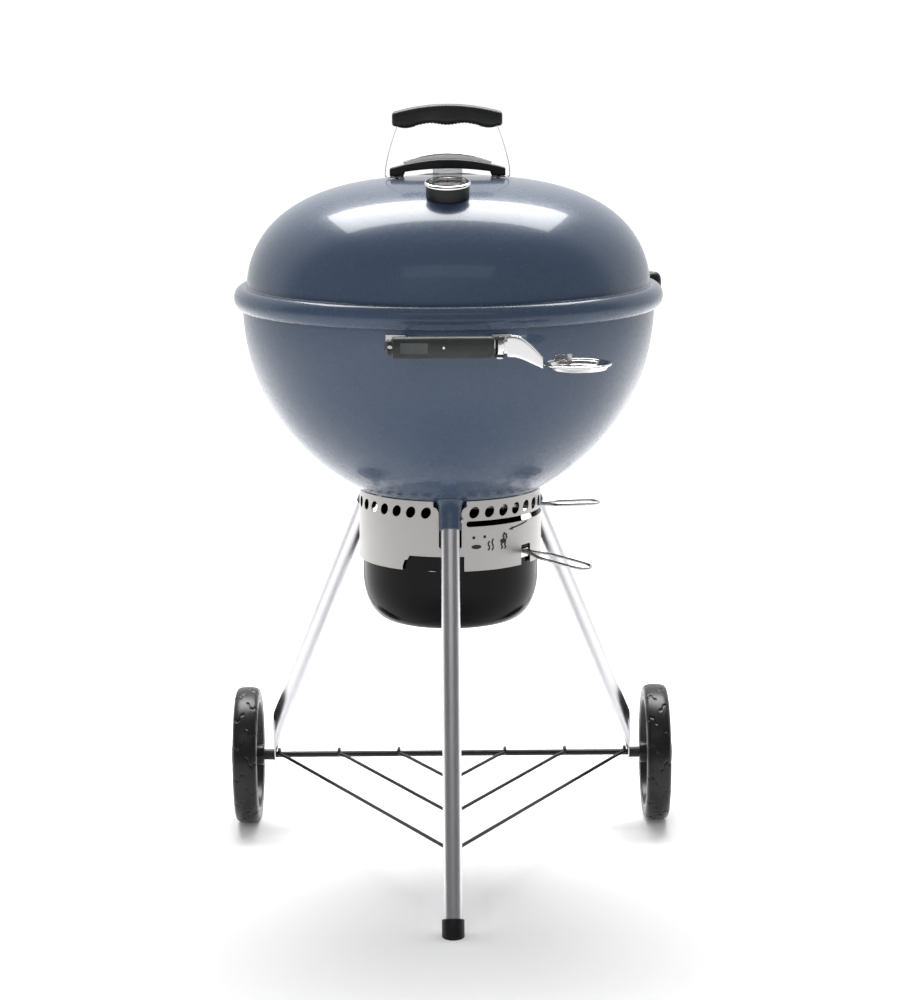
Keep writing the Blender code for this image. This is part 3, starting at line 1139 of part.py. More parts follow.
def make_dish():
    pin_x = FRONT_GRIP_RIGHT + PIN_PAST_GRIP
    pin_y = -HANDLE_OUT - 0.0120
    pivot = (pin_x, pin_y, HANDLE_HEIGHT)
    grip = make_handle("front", 0.0, FRONT_GRIP_LEFT, FRONT_GRIP_RIGHT, GREEN_PLASTIC)
    hook_x = -FRONT_GRIP_LEFT + 0.0065
    hook = along(tube(0, 0.0035, -0.03, 0.03, 10), (hook_x, pin_y, HANDLE_HEIGHT), (0, 1, 0))
    combine(grip, "DIFFERENCE", hook)
    tall = HANDLE_GRIP_HEIGHT / 2 * 0.90
    for low in (HANDLE_HEIGHT + tall - LUG_SHEET, HANDLE_HEIGHT - tall):
        near = (FRONT_GRIP_RIGHT - 0.010, pin_y - KNUCKLE_RADIUS, low)
        far = (pin_x + KNUCKLE_RADIUS, pin_y + KNUCKLE_RADIUS, low + LUG_SHEET)
        combine(grip, "UNION", box(near, far))
    combine(grip, "DIFFERENCE", along(tube(0, PIN_RADIUS + GAP, -0.03, 0.03, 12), pivot, (0, 0, 1)))
    gap_half = tall - LUG_SHEET - GAP
    pocket = tube(0, KNUCKLE_RADIUS + 0.0005 + RUN, -gap_half - GAP, gap_half + GAP, 20)
    combine(grip, "DIFFERENCE", along(pocket, pivot, (0, 0, 1)))
    pin = turned(
        [
            (0, -tall - 0.0022),
            (0.0050, -tall - 0.0022),
            (0.0050, -tall - GAP),
            (PIN_RADIUS, -tall - GAP),
            (PIN_RADIUS, tall + 0.0010),
            (0, tall + 0.0010),
        ],
        steps=12,
    )
    place("dish_pin", along(pin, pivot, (0, 0, 1)), POLISHED)
    knuckle = tube(0, KNUCKLE_RADIUS, -gap_half, gap_half, 16)
    arm = place("dish_arm", along(knuckle, pivot, (0, 0, 1)), POLISHED, pivot)
    dish_x = pin_x + DISH_FROM_PIN + 0.0060
    dish_z = HANDLE_HEIGHT - DISH_DROP
    end_x = dish_x - DISH_RADIUS - GAP
    stations = [
        (pin_x + 0.0030, -gap_half + 0.0006, gap_half - 0.0006),
        (pin_x + 0.0088, -gap_half + 0.0006, gap_half - 0.0006),
        (pin_x + 0.0102, -0.0130, 0.0135),
        (pin_x + 0.0190, -0.0135, 0.0135),
        (pin_x + 0.0290, -0.0165, 0.0100),
        (pin_x + 0.0420, -0.0225, -0.0010),
        (end_x, -0.0285, -0.0150),
    ]
    rings = []
    for x, low, high in stations:
        near = pin_y - ARM_SHEET / 2
        rings.append(
            [
                (x, near, HANDLE_HEIGHT + low),
                (x, near + ARM_SHEET, HANDLE_HEIGHT + low),
                (x, near + ARM_SHEET, HANDLE_HEIGHT + high),
                (x, near, HANDLE_HEIGHT + high),
            ]
        )
    combine(arm, "UNION", lofted(rings))
    combine(arm, "DIFFERENCE", along(tube(0, PIN_RADIUS + GAP, -0.03, 0.03, 12), pivot, (0, 0, 1)))
    dish = turned(
        [
            (0.0030, -DISH_DEPTH),
            (DISH_RADIUS * 0.84, -DISH_DEPTH),
            (DISH_RADIUS * 0.92, -DISH_DEPTH * 0.35),
            (DISH_RADIUS - 0.0012, -0.0022),
            (DISH_RADIUS, -0.0006),
            (DISH_RADIUS - 0.0014, 0.0006),
            (DISH_RADIUS * 0.89, -DISH_DEPTH * 0.25),
            (DISH_RADIUS * 0.82, -DISH_DEPTH + DISH_SHEET),
            (0.0030, -DISH_DEPTH + DISH_SHEET),
        ],
        closed=True,
        steps=24,
    )
    made = place("dish", along(dish, (dish_x, pin_y, dish_z), (0, 0, 1)), POLISHED, pivot)
    out = DISH_RADIUS * 0.90
    tab = box((-0.0125, out - 0.0012, -0.0030), (0.0125, out + 0.0006, 0.0065))
    bmesh.ops.rotate(tab, cent=(0, 0, 0), matrix=Matrix.Rotation(radians(25), 3, "Z"), verts=tab.verts)
    combine(made, "UNION", along(tab, (dish_x, pin_y, dish_z), (0, 0, 1)))


# ------------------------------------------------------------------ lid holder
def make_lid_holder():
    outwards, sideways = around(HOLDER_ANGLE, 1.0), around(HOLDER_ANGLE + 90, 1.0)

    def at(side, out, height):
        return sideways * side + outwards * out + Vector((0, 0, height))

    wall = bowl_radius(HOLDER_PIVOT_HEIGHT + BRACKET_HEIGHT / 2) + GAP + BRACKET_SHEET / 2
    turn = degrees(asin(HOLDER_EAR / wall))
    ear_out = HOLDER_PIVOT_OUT + 0.0080
    path = [at(-HOLDER_EAR, ear_out, HOLDER_PIVOT_HEIGHT)]
    path += [around(HOLDER_ANGLE - turn + 2 * turn * i / 8, wall, HOLDER_PIVOT_HEIGHT) for i in range(9)]
    path += [at(HOLDER_EAR, ear_out, HOLDER_PIVOT_HEIGHT)]
    bracket = place("lid_holder_bracket", swept(path, strip(BRACKET_HEIGHT, BRACKET_SHEET)), STEEL)
    pivot = at(0, HOLDER_PIVOT_OUT, HOLDER_PIVOT_HEIGHT)
    bore = tube(0, HOLDER_WIRE + 2 * GAP, -2 * HOLDER_EAR, 2 * HOLDER_EAR, 12)
    combine(bracket, "DIFFERENCE", along(bore, pivot, sideways, (0, 0, 1)))
    bar_under = HOLDER_BAR_HEIGHT - HOLDER_BAR_RADIUS - GAP
    knee = HOLDER_EAR + 0.0090
    tip = HOLDER_EAR - 0.0060
    frame = None
    for side in (-1, 1):
        wire = swept(
            [
                at(side * tip, HOLDER_PIVOT_OUT, HOLDER_PIVOT_HEIGHT),
                at(side * (knee - 0.003), HOLDER_PIVOT_OUT, HOLDER_PIVOT_HEIGHT),
                at(side * knee, HOLDER_PIVOT_OUT + 0.003, HOLDER_PIVOT_HEIGHT + 0.001),
                at(side * knee, HOLDER_BAR_OUT, HOLDER_PIVOT_HEIGHT + 0.010),
                at(side * knee, HOLDER_BAR_OUT, bar_under),
            ],
            circle(HOLDER_WIRE, 8),
            outwards,
        )
        if frame is None:
            frame = place("lid_holder_frame", wire, BRIGHT_WIRE, pivot)
        else:
            combine(frame, "UNION", wire)
    cross_height = HOLDER_PIVOT_HEIGHT + 0.0115
    start, end = at(-knee, HOLDER_BAR_OUT, cross_height), at(knee, HOLDER_BAR_OUT, cross_height)
    combine(frame, "UNION", straight(start, end, HOLDER_WIRE * 0.9, 8))
    rings = []
    for share, size in ((-1, 0.55), (-0.97, 0.85), (-0.9, 1), (0, 1), (0.9, 1), (0.97, 0.85), (1, 0.55)):
        ring = []
        for i in range(16):
            a = 2 * pi * i / 16
            up = HOLDER_BAR_RADIUS * size * sin(a)
            out = HOLDER_BAR_HALF_DEPTH * size * cos(a)
            ring.append(at(share * HOLDER_BAR_HALF, HOLDER_BAR_OUT + out, HOLDER_BAR_HEIGHT + up))
        rings.append(ring)
    place("lid_holder_bar", lofted(rings), BLACK_PLASTIC, pivot)


# ------------------------------------------------------------------ the whole grill
def weld_cut_edges():
    """Closes the hair-thin slivers that cuts can leave."""
    for part in bpy.data.objects:
        if part.type == "MESH" and part.modifiers:
            weld = part.modifiers.new("Weld", "WELD")
            weld.merge_threshold = 0.00003


def centre_on_floor():
    """Moves the kettle's axis so that the whole grill is centred front to back over the origin."""
    bpy.context.view_layer.update()
    reach = [
        (part.matrix_world @ Vector(corner)).y
        for part in bpy.data.objects
        if part.type == "MESH" and not part.hide_render
        for corner in part.bound_box
    ]
    ROOT.location.y = -(min(reach) + max(reach)) / 2
    bpy.context.view_layer.update()


make_bowl()
make_lid()
make_lid_handle()
make_damper()
make_thermometer()
make_legs()
make_wheels()
make_rack()
make_ring()
make_pot()
make_vents()
make_cooking_grate()
make_charcoal_grate()
make_dish()
make_handle("rear", 180.0, HANDLE_GRIP_HALF, HANDLE_GRIP_HALF, BLACK_PLASTIC)
make_lid_holder()
weld_cut_edges()
centre_on_floor()
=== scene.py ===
"""A kettle charcoal grill in slate blue enamel, standing in a plain pale studio. Metres, +Z up."""
import json
from math import atan, atan2, cos, hypot, pi, radians, sin, sqrt, tan

import bmesh
import bpy
import numpy as np
from mathutils import Euler, Matrix, Vector


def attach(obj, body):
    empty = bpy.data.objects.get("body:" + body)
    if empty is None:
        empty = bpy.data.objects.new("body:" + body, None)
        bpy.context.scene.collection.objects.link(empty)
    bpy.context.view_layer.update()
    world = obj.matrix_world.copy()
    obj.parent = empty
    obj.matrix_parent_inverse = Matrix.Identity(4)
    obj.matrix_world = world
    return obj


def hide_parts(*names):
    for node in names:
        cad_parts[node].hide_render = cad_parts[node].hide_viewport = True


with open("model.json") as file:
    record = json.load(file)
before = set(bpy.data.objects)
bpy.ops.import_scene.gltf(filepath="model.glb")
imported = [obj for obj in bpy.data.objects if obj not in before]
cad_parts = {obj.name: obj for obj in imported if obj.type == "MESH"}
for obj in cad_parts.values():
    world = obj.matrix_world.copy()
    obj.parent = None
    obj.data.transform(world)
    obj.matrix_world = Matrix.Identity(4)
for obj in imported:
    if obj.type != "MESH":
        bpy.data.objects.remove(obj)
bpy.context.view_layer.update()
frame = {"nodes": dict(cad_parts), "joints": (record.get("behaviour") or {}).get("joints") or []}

JOINTS = {joint["name"]: joint for joint in frame["joints"]}
KETTLE_Y = JOINTS["vent_turn"]["pos_m"][1]  # the kettle's upright axis stands at x = 0 and this y
AXIS = (0, KETTLE_Y, 0)

# ------------------------------------------------------------------ sizes
BOWL_RADIUS, BOWL_DEPTH, BOWL_HEIGHT = 0.2867, 0.2983, 0.8047
BOWL_SQUARE_R, BOWL_SQUARE_Z = 1.88, 2.141
SHEET = 0.0020
BEAD = 0.0028
LID_RADIUS = BOWL_RADIUS - 0.0051
LID_BASE = BOWL_HEIGHT + 0.0021
LID_RISE = 0.1654
LID_SQUARE_R, LID_SQUARE_Z = 2.778, 2.348
FLANGE_OUT, FLANGE_UP = 0.0139, 0.0165
FLANGE_CENTRE = (LID_RADIUS + 0.0030, LID_BASE + 0.0020)
LID_APEX = LID_BASE + LID_RISE
BOWL_BOTTOM = BOWL_HEIGHT - BOWL_DEPTH

LEG_TILT = radians(24.5)
LEG_TOP_RADIUS = 0.1259
LEG_TUBE, LEG_WALL = 0.0127, 0.0012
SOCKET_ROOF, SOCKET_LENGTH, SOCKET_WALL = 0.0080, 0.0330, 0.0020
LEG_ANGLES = {"front": 0.0, "right": 120.0, "left": 240.0}
FOOT_HEIGHT = 0.0200
WHEEL_RADIUS, WHEEL_WIDTH = 0.1016, 0.0380
WHEEL_CENTRE_X = JOINTS["right_wheel_spin"]["pos_m"][0]
AXLE_Y = JOINTS["right_wheel_spin"]["pos_m"][1] - KETTLE_Y
LEG_CUT_IN, TONGUE_THICK = 0.0129, 0.0020
RACK_WIRE, RACK_SLOPE, RACK_PITCH = 0.0025, 0.535, 0.0895

RING_RADIUS, RING_SHEET = 0.1285, 0.0012
RING_BOTTOM = BOWL_BOTTOM - 0.0664
POT_RADIUS = 0.1240
POT_FLOOR = BOWL_BOTTOM - 0.1554
POT_TOP = POT_FLOOR + 0.1150
POT_SHEET = 0.0012
POT_HANDLE_ANGLE, LEVER_ANGLE = 55.0, 99.0
LEVER_HEIGHT = BOWL_BOTTOM - 0.0002
LOOP_WIRE = 0.0022

GRIP_HALF, GRIP_HALF_DEPTH = 0.0760, 0.0140
GRIP_TOP, GRIP_CROWN, GRIP_THICK = 0.1000, 0.0110, 0.0290
ARCH_HALF, ARCH_HALF_DEPTH, ARCH_FOOT = 0.080, 0.010, 0.019
ARCH_TOP, ARCH_THICK, ARCH_SAG = 0.0246, 0.0130, 0.0126
GAUGE_RADIUS, GAUGE_HEIGHT, BEZEL_RADIUS, NEEDLE_BORE = 0.0290, 0.0180, 0.0310, 0.0028
HANDLE_HEIGHT, HANDLE_OUT = 0.7785, 0.3250
DISH_RADIUS, DISH_DEPTH = 0.0440, 0.0080


# ------------------------------------------------------------------ points, curves and surfaces
def unit(vectors):
    """Each vector divided by its own length."""
    return vectors / np.maximum(np.linalg.norm(vectors, axis=-1, keepdims=True), 1e-12)


def ease(low, high, value):
    """0 below low, 1 above high, and 3t^2 - 2t^3 between, t being the share of the way."""
    t = np.clip((np.asarray(value, float) - low) / (high - low), 0, 1)
    return t * t * (3 - 2 * t)


def grid(points, wrap_rows=False, wrap_columns=False):
    """Joins a rows x columns array of points with quads; either way may close on itself."""
    rows, columns = points.shape[:2]
    row = np.arange(rows if wrap_rows else rows - 1)[:, None]
    column = np.arange(columns if wrap_columns else columns - 1)[None, :]
    below, right = (row + 1) % rows, (column + 1) % columns
    across = (column, right, right, column)
    corners = [at * columns + over for at, over in zip((row, row, below, below), across)]
    faces = np.stack(np.broadcast_arrays(*corners), -1).reshape(-1, 4)
    return points.reshape(-1, 3), faces


def joined(*surfaces):
    """Several surfaces as one, their corner numbers counted on."""
    starts = np.cumsum([0] + [len(points) for points, faces in surfaces[:-1]])
    points = np.concatenate([points for points, faces in surfaces])
    return points, np.concatenate([faces + start for (_, faces), start in zip(surfaces, starts)])


def around(angle, radius, height=0.0):
    """Points at an angle in degrees from the front, counted towards +X, about the kettle's axis."""
    angle = np.radians(angle)
    x, y = radius * np.sin(angle), KETTLE_Y - radius * np.cos(angle)
    return np.stack(np.broadcast_arrays(x, y, height), -1)


def directions(angle):
    """Outwards at an angle about the kettle's axis, and sideways, a quarter turn on."""
    return around(angle, 1.0) - AXIS, around(angle + 90, 1.0) - AXIS


def arc(centre, radius_x, radius_y, start, end, steps):
    """An oval arc: centre + (radius_x cos a, radius_y sin a), a going from start to end degrees."""
    a = np.radians(np.linspace(start, end, steps))
    return np.stack([centre[0] + radius_x * np.cos(a), centre[1] + radius_y * np.sin(a)], -1)


def oval(half_wide, half_thick, steps=24, square=2.0):
    """A superellipse: each coordinate is a half size times the signed 2/square power of cos or sin."""
    a = np.linspace(0, 2 * np.pi, steps, endpoint=False)
    wide = np.sign(np.cos(a)) * np.abs(np.cos(a)) ** (2 / square)
    thick = np.sign(np.sin(a)) * np.abs(np.sin(a)) ** (2 / square)
    return np.stack([half_wide * wide, half_thick * thick], -1)


def rounded(profile, radius, steps=4, closed=False):
    """A profile whose inner corners become quadratic curves that start and end a radius away."""
    points = np.asarray(profile, float)
    before, after = np.roll(points, 1, 0), np.roll(points, -1, 0)
    to_before, to_after = before - points, after - points
    reach_before = np.minimum(radius, np.linalg.norm(to_before, axis=1) * 0.45)[:, None]
    reach_after = np.minimum(radius, np.linalg.norm(to_after, axis=1) * 0.45)[:, None]
    start, end = points + unit(to_before) * reach_before, points + unit(to_after) * reach_after
    t = np.linspace(0, 1, steps)[None, :, None]
    bends = (1 - t) ** 2 * start[:, None] + 2 * t * (1 - t) * points[:, None] + t**2 * end[:, None]
    if closed:
        return bends.reshape(-1, points.shape[1])
    inner = bends[1:-1].reshape(-1, points.shape[1])
    return np.concatenate([points[:1], inner, points[-1:]])


def curve(knots, per_span=8, closed=False):
    """A Catmull-Rom curve: each span's cubic leans at its ends along the chord of its neighbours."""
    knots = np.asarray(knots, float)
    if closed:
        padded = np.concatenate([knots[-1:], knots, knots[:2]])
    else:
        padded = np.concatenate([2 * knots[:1] - knots[1:2], knots, 2 * knots[-1:] - knots[-2:-1]])
    a, b, c, d = (padded[i : len(padded) - 3 + i, None] for i in range(4))
    t = (np.arange(per_span) / per_span)[None, :, None]
    square, cube = 2 * a - 5 * b + 4 * c - d, 3 * b - a - 3 * c + d
    spans = 0.5 * (2 * b + (c - a) * t + square * t**2 + cube * t**3)
    points = spans.reshape(-1, knots.shape[1])
    return points if closed else np.concatenate([points, knots[-1:]])


def wound(a, radius, height):
    """Points about Z: x = radius sin a, y = -radius cos a, at a height."""
    return np.stack(np.broadcast_arrays(radius * np.sin(a), -radius * np.cos(a), height), -1)


def turned(profile, steps=192, closed=False):
    """A (radius, height) profile carried round Z."""
    radius, height = np.asarray(profile, float).T[:, :, None]
    a = np.linspace(0, 2 * np.pi, steps, endpoint=False)[None, :]
    return grid(wound(a, radius, height), wrap_rows=closed, wrap_columns=True)


def rod(radius, low, high, steps):
    """A solid round rod or drill about Z."""
    return turned([(0, low), (radius, low), (radius, high), (0, high)], steps)


def band(inner, outer, low, high, steps):
    """A round tube or washer about Z, its section a plain rectangle."""
    profile = [(inner, low), (outer, low), (outer, high), (inner, high)]
    return turned(profile, steps, closed=True)


def evenly(outline, count):
    """An outline's radius and height at stations evenly spaced along its length."""
    lengths = np.concatenate([[0], np.cumsum(np.linalg.norm(np.diff(outline, axis=0), axis=1))])
    even = np.linspace(0, lengths[-1], count)
    return [np.interp(even, lengths, outline[:, i]) for i in range(2)]


def rings_along(x, y, z):
    """Rings of points, each at one x, with y and z given ring by ring."""
    return np.stack(np.broadcast_arrays(x[:, None], y, z), -1)


def lofted(rings, closed=False):
    """A skin over rings of points; unless it closes on itself, each end ring shrinks to its middle."""
    rings = np.asarray(rings, float)
    if not closed:
        first = np.repeat(rings[:1].mean(1, keepdims=True), rings.shape[1], 1)
        last = np.repeat(rings[-1:].mean(1, keepdims=True), rings.shape[1], 1)
        rings = np.concatenate([first, rings, last])
    return grid(rings, wrap_rows=closed, wrap_columns=True)


def carried(path, section, side=(0, 0, 1), closed=False, swell=None):
    """A section carried along a path: its first coordinate follows the side direction made square to the
    path, its second the cross product of path and side, and swell scales it point by point."""
    path = np.asarray(path, float)
    ahead, back = unit(np.roll(path, -1, 0) - path), unit(path - np.roll(path, 1, 0))
    if not closed:
        ahead[-1], back[0] = back[-1], ahead[0]
    along = unit(ahead + back)
    side = np.broadcast_to(np.asarray(side, float), path.shape)
    side = unit(side - along * np.sum(along * side, -1, keepdims=True))
    normal = np.cross(along, side)
    swell = np.ones(len(path)) if swell is None else np.asarray(swell, float)
    spread = side[:, None] * section[None, :, :1] + normal[:, None] * section[None, :, 1:]
    return lofted(path[:, None] + spread * swell[:, None, None], closed)


def plate(outline, low, high, across="z", edge=0.0004):
    """An outline of (u, v) points drawn from low to high along an axis, its rims drawn in."""
    outline = np.asarray(outline, float)
    middle = outline.mean(0)
    inward = unit(middle - outline) * edge
    levels = ((low, 1.0), (low + edge, 0.0), (high - edge, 0.0), (high, 1.0))
    order = {"z": (0, 1, 2), "y": (0, 2, 1), "x": (2, 0, 1)}[across]
    rings = [np.insert(outline + inward * share, 2, level, axis=1) for level, share in levels]
    return lofted([ring[:, order] for ring in rings])


def moved(surface, offset=(0, 0, 0), turn=None):
    """A surface turned about the origin by a 3 x 3 matrix, then shifted."""
    points, faces = surface
    if turn is not None:
        points = points @ np.array(turn, float).T
    return points + np.asarray(offset, float), faces


def on_axis(surface):
    """A surface made about Z, shifted onto the kettle's axis."""
    return moved(surface, AXIS)


def aimed(surface, origin, direction):
    """A surface made about Z, moved so that Z runs from the origin along the direction."""
    z_axis = Vector(direction).normalized()
    x_axis = Vector((1, 0, 0)) if abs(z_axis.x) < 0.9 else Vector((0, 1, 0))
    x_axis = (x_axis - z_axis * x_axis.dot(z_axis)).normalized()
    turn = Matrix((x_axis, z_axis.cross(x_axis), z_axis)).transposed()
    return moved(surface, origin, turn)


def bare_object(name, surface):
    """A mesh object of a surface, its seams merged and its faces turned outwards."""
    points, faces = surface
    mesh = bpy.data.meshes.new(name)
    mesh.vertices.add(len(points))
    mesh.vertices.foreach_set("co", np.ascontiguousarray(points, np.float32).ravel())
    mesh.loops.add(faces.size)
    mesh.loops.foreach_set("vertex_index", faces.astype(np.int32).ravel())
    mesh.polygons.add(len(faces))
    mesh.polygons.foreach_set("loop_start", np.arange(0, faces.size, 4, dtype=np.int32))
    mesh.update(calc_edges=True)
    bm = bmesh.new()
    bm.from_mesh(mesh)
    bmesh.ops.remove_doubles(bm, verts=bm.verts, dist=2e-6)
    bmesh.ops.recalc_face_normals(bm, faces=bm.faces)
    bm.to_mesh(mesh)
    bm.free()
    made = bpy.data.objects.new(name, mesh)
    bpy.context.scene.collection.objects.link(made)
    return made


def piece(name, surface, finish, body, stands_for=(), crease=32.0, cuts=()):
    """A finished piece: shaped, cut, shaded, given its material and set riding on its body."""
    made = bare_object(name, surface)
    if cuts:
        tool = bare_object("tool", joined(*cuts))
        boolean = made.modifiers.new("cuts", "BOOLEAN")
        boolean.object = tool
        boolean.solver = "EXACT"
        boolean.use_self = True
        bpy.context.view_layer.update()
        evaluated = made.evaluated_get(bpy.context.evaluated_depsgraph_get())
        cut_mesh = bpy.data.meshes.new_from_object(evaluated)
        made.modifiers.clear()
        made.data = cut_mesh
        bpy.data.objects.remove(tool)
    made.data.shade_smooth()
    made.data.set_sharp_from_angle(angle=radians(crease))
    made.data.materials.clear()
    made.data.materials.append(finish)
    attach(made, body)
    if stands_for:
        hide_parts(*stands_for)
    return made


# ------------------------------------------------------------------ finishes
class Number:
    """A number socket in Python arithmetic: each operator adds the Math node that works it out."""

    def __init__(self, nodes, socket):
        self.nodes = nodes
        self.socket = socket

    def math(self, operation, *values):
        return self.nodes.node("ShaderNodeMath", {"operation": operation}, dict(enumerate(values)))

    def __add__(self, other):
        return self.math("ADD", self, other)

    def __sub__(self, other):
        return self.math("SUBTRACT", self, other)

    def __rsub__(self, other):
        return self.math("SUBTRACT", other, self)

    def __mul__(self, other):
        return self.math("MULTIPLY", self, other)

    def __truediv__(self, other):
        return self.math("DIVIDE", self, other)

    def __pow__(self, other):
        return self.math("POWER", self, other)

    __radd__ = __add__
    __rmul__ = __mul__


class Nodes:
    """A node tree being made: every node comes from one method."""

    def __init__(self, tree):
        self.tree = tree

    def node(self, kind, settings, inputs, output=0):
        """Adds a node: its settings first, then the values or links of its sockets."""
        made = self.tree.nodes.new(kind)
        for key, value in settings.items():
            setattr(made, key, value)
        for key, value in inputs.items():
            if isinstance(value, Number):
                self.tree.links.new(value.socket, made.inputs[key])
            else:
                made.inputs[key].default_value = value
        return Number(self, made.outputs[output])

    def place(self):
        """Position on the piece, in metres."""
        return self.node("ShaderNodeTexCoord", {}, {}, "Object")

    def scaled(self, scale, place=None):
        """Position stretched along each axis."""
        return self.node("ShaderNodeMapping", {}, {"Vector": place or self.place(), "Scale": scale})

    def noise(self, place, scale, detail=2.0, roughness=0.5):
        inputs = {"Vector": place, "Scale": scale, "Detail": detail, "Roughness": roughness}
        return self.node("ShaderNodeTexNoise", {}, inputs)

    def split(self, place):
        """The three coordinates of a position as numbers."""
        parts = self.node("ShaderNodeSeparateXYZ", {}, {"Vector": place})
        outputs = parts.socket.node.outputs
        return [Number(self, outputs[i]) for i in range(3)]

    def blend(self, share, first, second):
        """Colour between two colours, each red, green, blue or a node's, by a share from 0 to 1."""
        first, second = (c if isinstance(c, Number) else (*c, 1.0) for c in (first, second))
        inputs = {0: share, 6: first, 7: second}
        return self.node("ShaderNodeMix", {"data_type": "RGBA", "clamp_factor": True}, inputs, 2)

    def bump(self, height, distance, strength=1.0):
        inputs = {"Height": height, "Distance": distance, "Strength": strength}
        return self.node("ShaderNodeBump", {}, inputs)

    def between(self, value, low, high, start=0.0, end=1.0):
        """A smooth step from start to end while the value goes from low to high."""
        inputs = {0: value, 1: low, 2: high, 3: start, 4: end}
        return self.node("ShaderNodeMapRange", {"interpolation_type": "SMOOTHSTEP"}, inputs)


class Finish(Nodes):
    """A material being made: one shader, and the constants on its sockets."""

    def __init__(self, name, **constants):
        self.material = bpy.data.materials.new(f"{name}_finish")
        self.material.use_nodes = True
        super().__init__(self.material.node_tree)
        self.shader = self.tree.nodes["Principled BSDF"]
        for socket, value in constants.items():
            self.shader.inputs[socket.replace("_", " ")].default_value = value

    def feed(self, **links):
        for socket, value in links.items():
            self.tree.links.new(value.socket, self.shader.inputs[socket.replace("_", " ")])


def smoked(colour, share):
    """A colour darkened to a share of itself."""
    return tuple(value * share for value in colour)


def enamel(name, colour, deep, roughness, flow, coat=0.30):
    """Fired porcelain enamel: glassy coat, faint clouding of the colour and a slow orange-peel flow."""
    gloss = {"Coat_Weight": coat, "Coat_Roughness": 0.06, "Coat_IOR": 1.5}
    made = Finish(name, Specular_IOR_Level=0.6 * coat, **gloss)
    place = made.place()
    cloud = made.noise(place, 9.0, 3.0)
    speck = made.noise(place, 900.0, 2.0)
    made.feed(
        Base_Color=made.blend(cloud * 0.8 + speck * 0.2, deep, colour),
        Roughness=made.noise(place, 60.0, 3.0) * 0.06 + roughness,
        Normal=made.bump(made.noise(place, 120.0, 1.0), 0.0005, flow),
    )
    return made.material


def moulded(name, colour, worn, roughness, grain=1400.0, depth=0.00012):
    """Moulded plastic: a fine spark-eroded grain, and a little polish where it is handled."""
    made = Finish(name, Specular_IOR_Level=0.30)
    place = made.place()
    fine = made.noise(place, grain, 4.0, 0.6)
    wear = made.noise(place, 22.0, 3.0)
    made.feed(
        Base_Color=made.blend(made.between(wear, 0.40, 0.75), colour, worn),
        Roughness=wear * -0.14 + fine * 0.08 + roughness,
        Normal=made.bump(fine, depth, 0.5),
    )
    return made.material


def metal(name, colour, roughness, stretch, streak=0.12, scratch=0.00003):
    """Rolled or drawn metal: hair lines along the least stretched axis, over a soft mottle."""
    made = Finish(name, Metallic=1.0)
    place = made.place()
    hair = made.noise(made.scaled(stretch, place), 1.0, 3.0, 0.65)
    mottle = made.noise(place, 35.0, 3.0)
    made.feed(
        Base_Color=made.blend(hair * 0.7 + mottle * 0.3, smoked(colour, 0.80), colour),
        Roughness=hair * streak + mottle * 0.05 + (roughness - 0.5 * streak),
        Normal=made.bump(hair, scratch, 0.6),
    )
    return made.material


def brushed_round(name, colour, roughness):
    """Brushed sheet rolled into a ring: hair lines run round it, and its inner face is painted near
    black as painted shade.
    """
    made = Finish(name, Metallic=1.0)
    place = made.place()
    x, y, z = made.split(place)
    angle = x.math("ARCTAN2", x, y - KETTLE_Y)
    wrapped = made.node("ShaderNodeCombineXYZ", {}, {0: angle * 6.0, 1: z * 2600.0, 2: 0.0})
    hair = made.noise(wrapped, 1.0, 3.0, 0.6)
    stain = made.noise(place, 14.0, 3.0)
    bright = made.blend(hair * 0.6 + stain * 0.4, smoked(colour, 0.82), colour)
    radius = (x * x + (y - KETTLE_Y) * (y - KETTLE_Y)) ** 0.5
    skin = [RING_RADIUS - share * RING_SHEET for share in (0.8, 0.3)]
    outside = made.between(radius, *skin)
    # The inner face gets a near-black colour: painted shade for the dim inside of the ring under the
    # bowl.
    made.feed(
        Base_Color=made.blend(outside, (0.012, 0.011, 0.010), bright),
        Roughness=hair * 0.14 + stain * 0.06 + (roughness - 0.1),
        Normal=made.bump(hair, 0.00002, 0.5),
    )
    return made.material


def dial_face(origin, direction):
    """The thermometer's dial: pale enamelled metal with a ring of ticks, every fifth one longer."""
    made = Finish("dial_paint", Roughness=0.45)
    tilt = atan2(-direction[1], direction[2])
    inputs = {"Vector": made.place(), "Location": [-value for value in origin]}
    centred = made.node("ShaderNodeMapping", {"vector_type": "POINT"}, inputs)
    inputs = {"Vector": centred, "Rotation": (-tilt, 0.0, 0.0)}
    x, y, _ = made.split(made.node("ShaderNodeMapping", {"vector_type": "POINT"}, inputs))
    radius = (x * x + y * y) ** 0.5
    turn = x.math("ARCTAN2", x, y) / (2 * pi) + 0.5
    ticks = None
    for count, inner, width in ((50, 0.0215, 0.16), (10, 0.0190, 0.07)):
        share = x.math("FRACT", turn * count + 0.5)
        near = x.math("ABSOLUTE", share - 0.5)
        mark = made.between(near, width, width + 0.05, 1.0, 0.0)
        mark = mark * made.between(radius, inner, inner + 0.0004)
        mark = mark * made.between(radius, 0.0236, 0.0240, 1.0, 0.0)
        ticks = mark if ticks is None else x.math("MAXIMUM", ticks, mark)
    made.feed(Base_Color=made.blend(ticks, (0.72, 0.71, 0.68), (0.02, 0.02, 0.022)))
    return made.material


def gauge_glass():
    made = Finish("gauge_glass", Transmission_Weight=1.0, IOR=1.45, Specular_IOR_Level=0.5)
    smear = made.noise(made.place(), 40.0, 3.0)
    made.feed(Roughness=smear * 0.05)
    return made.material


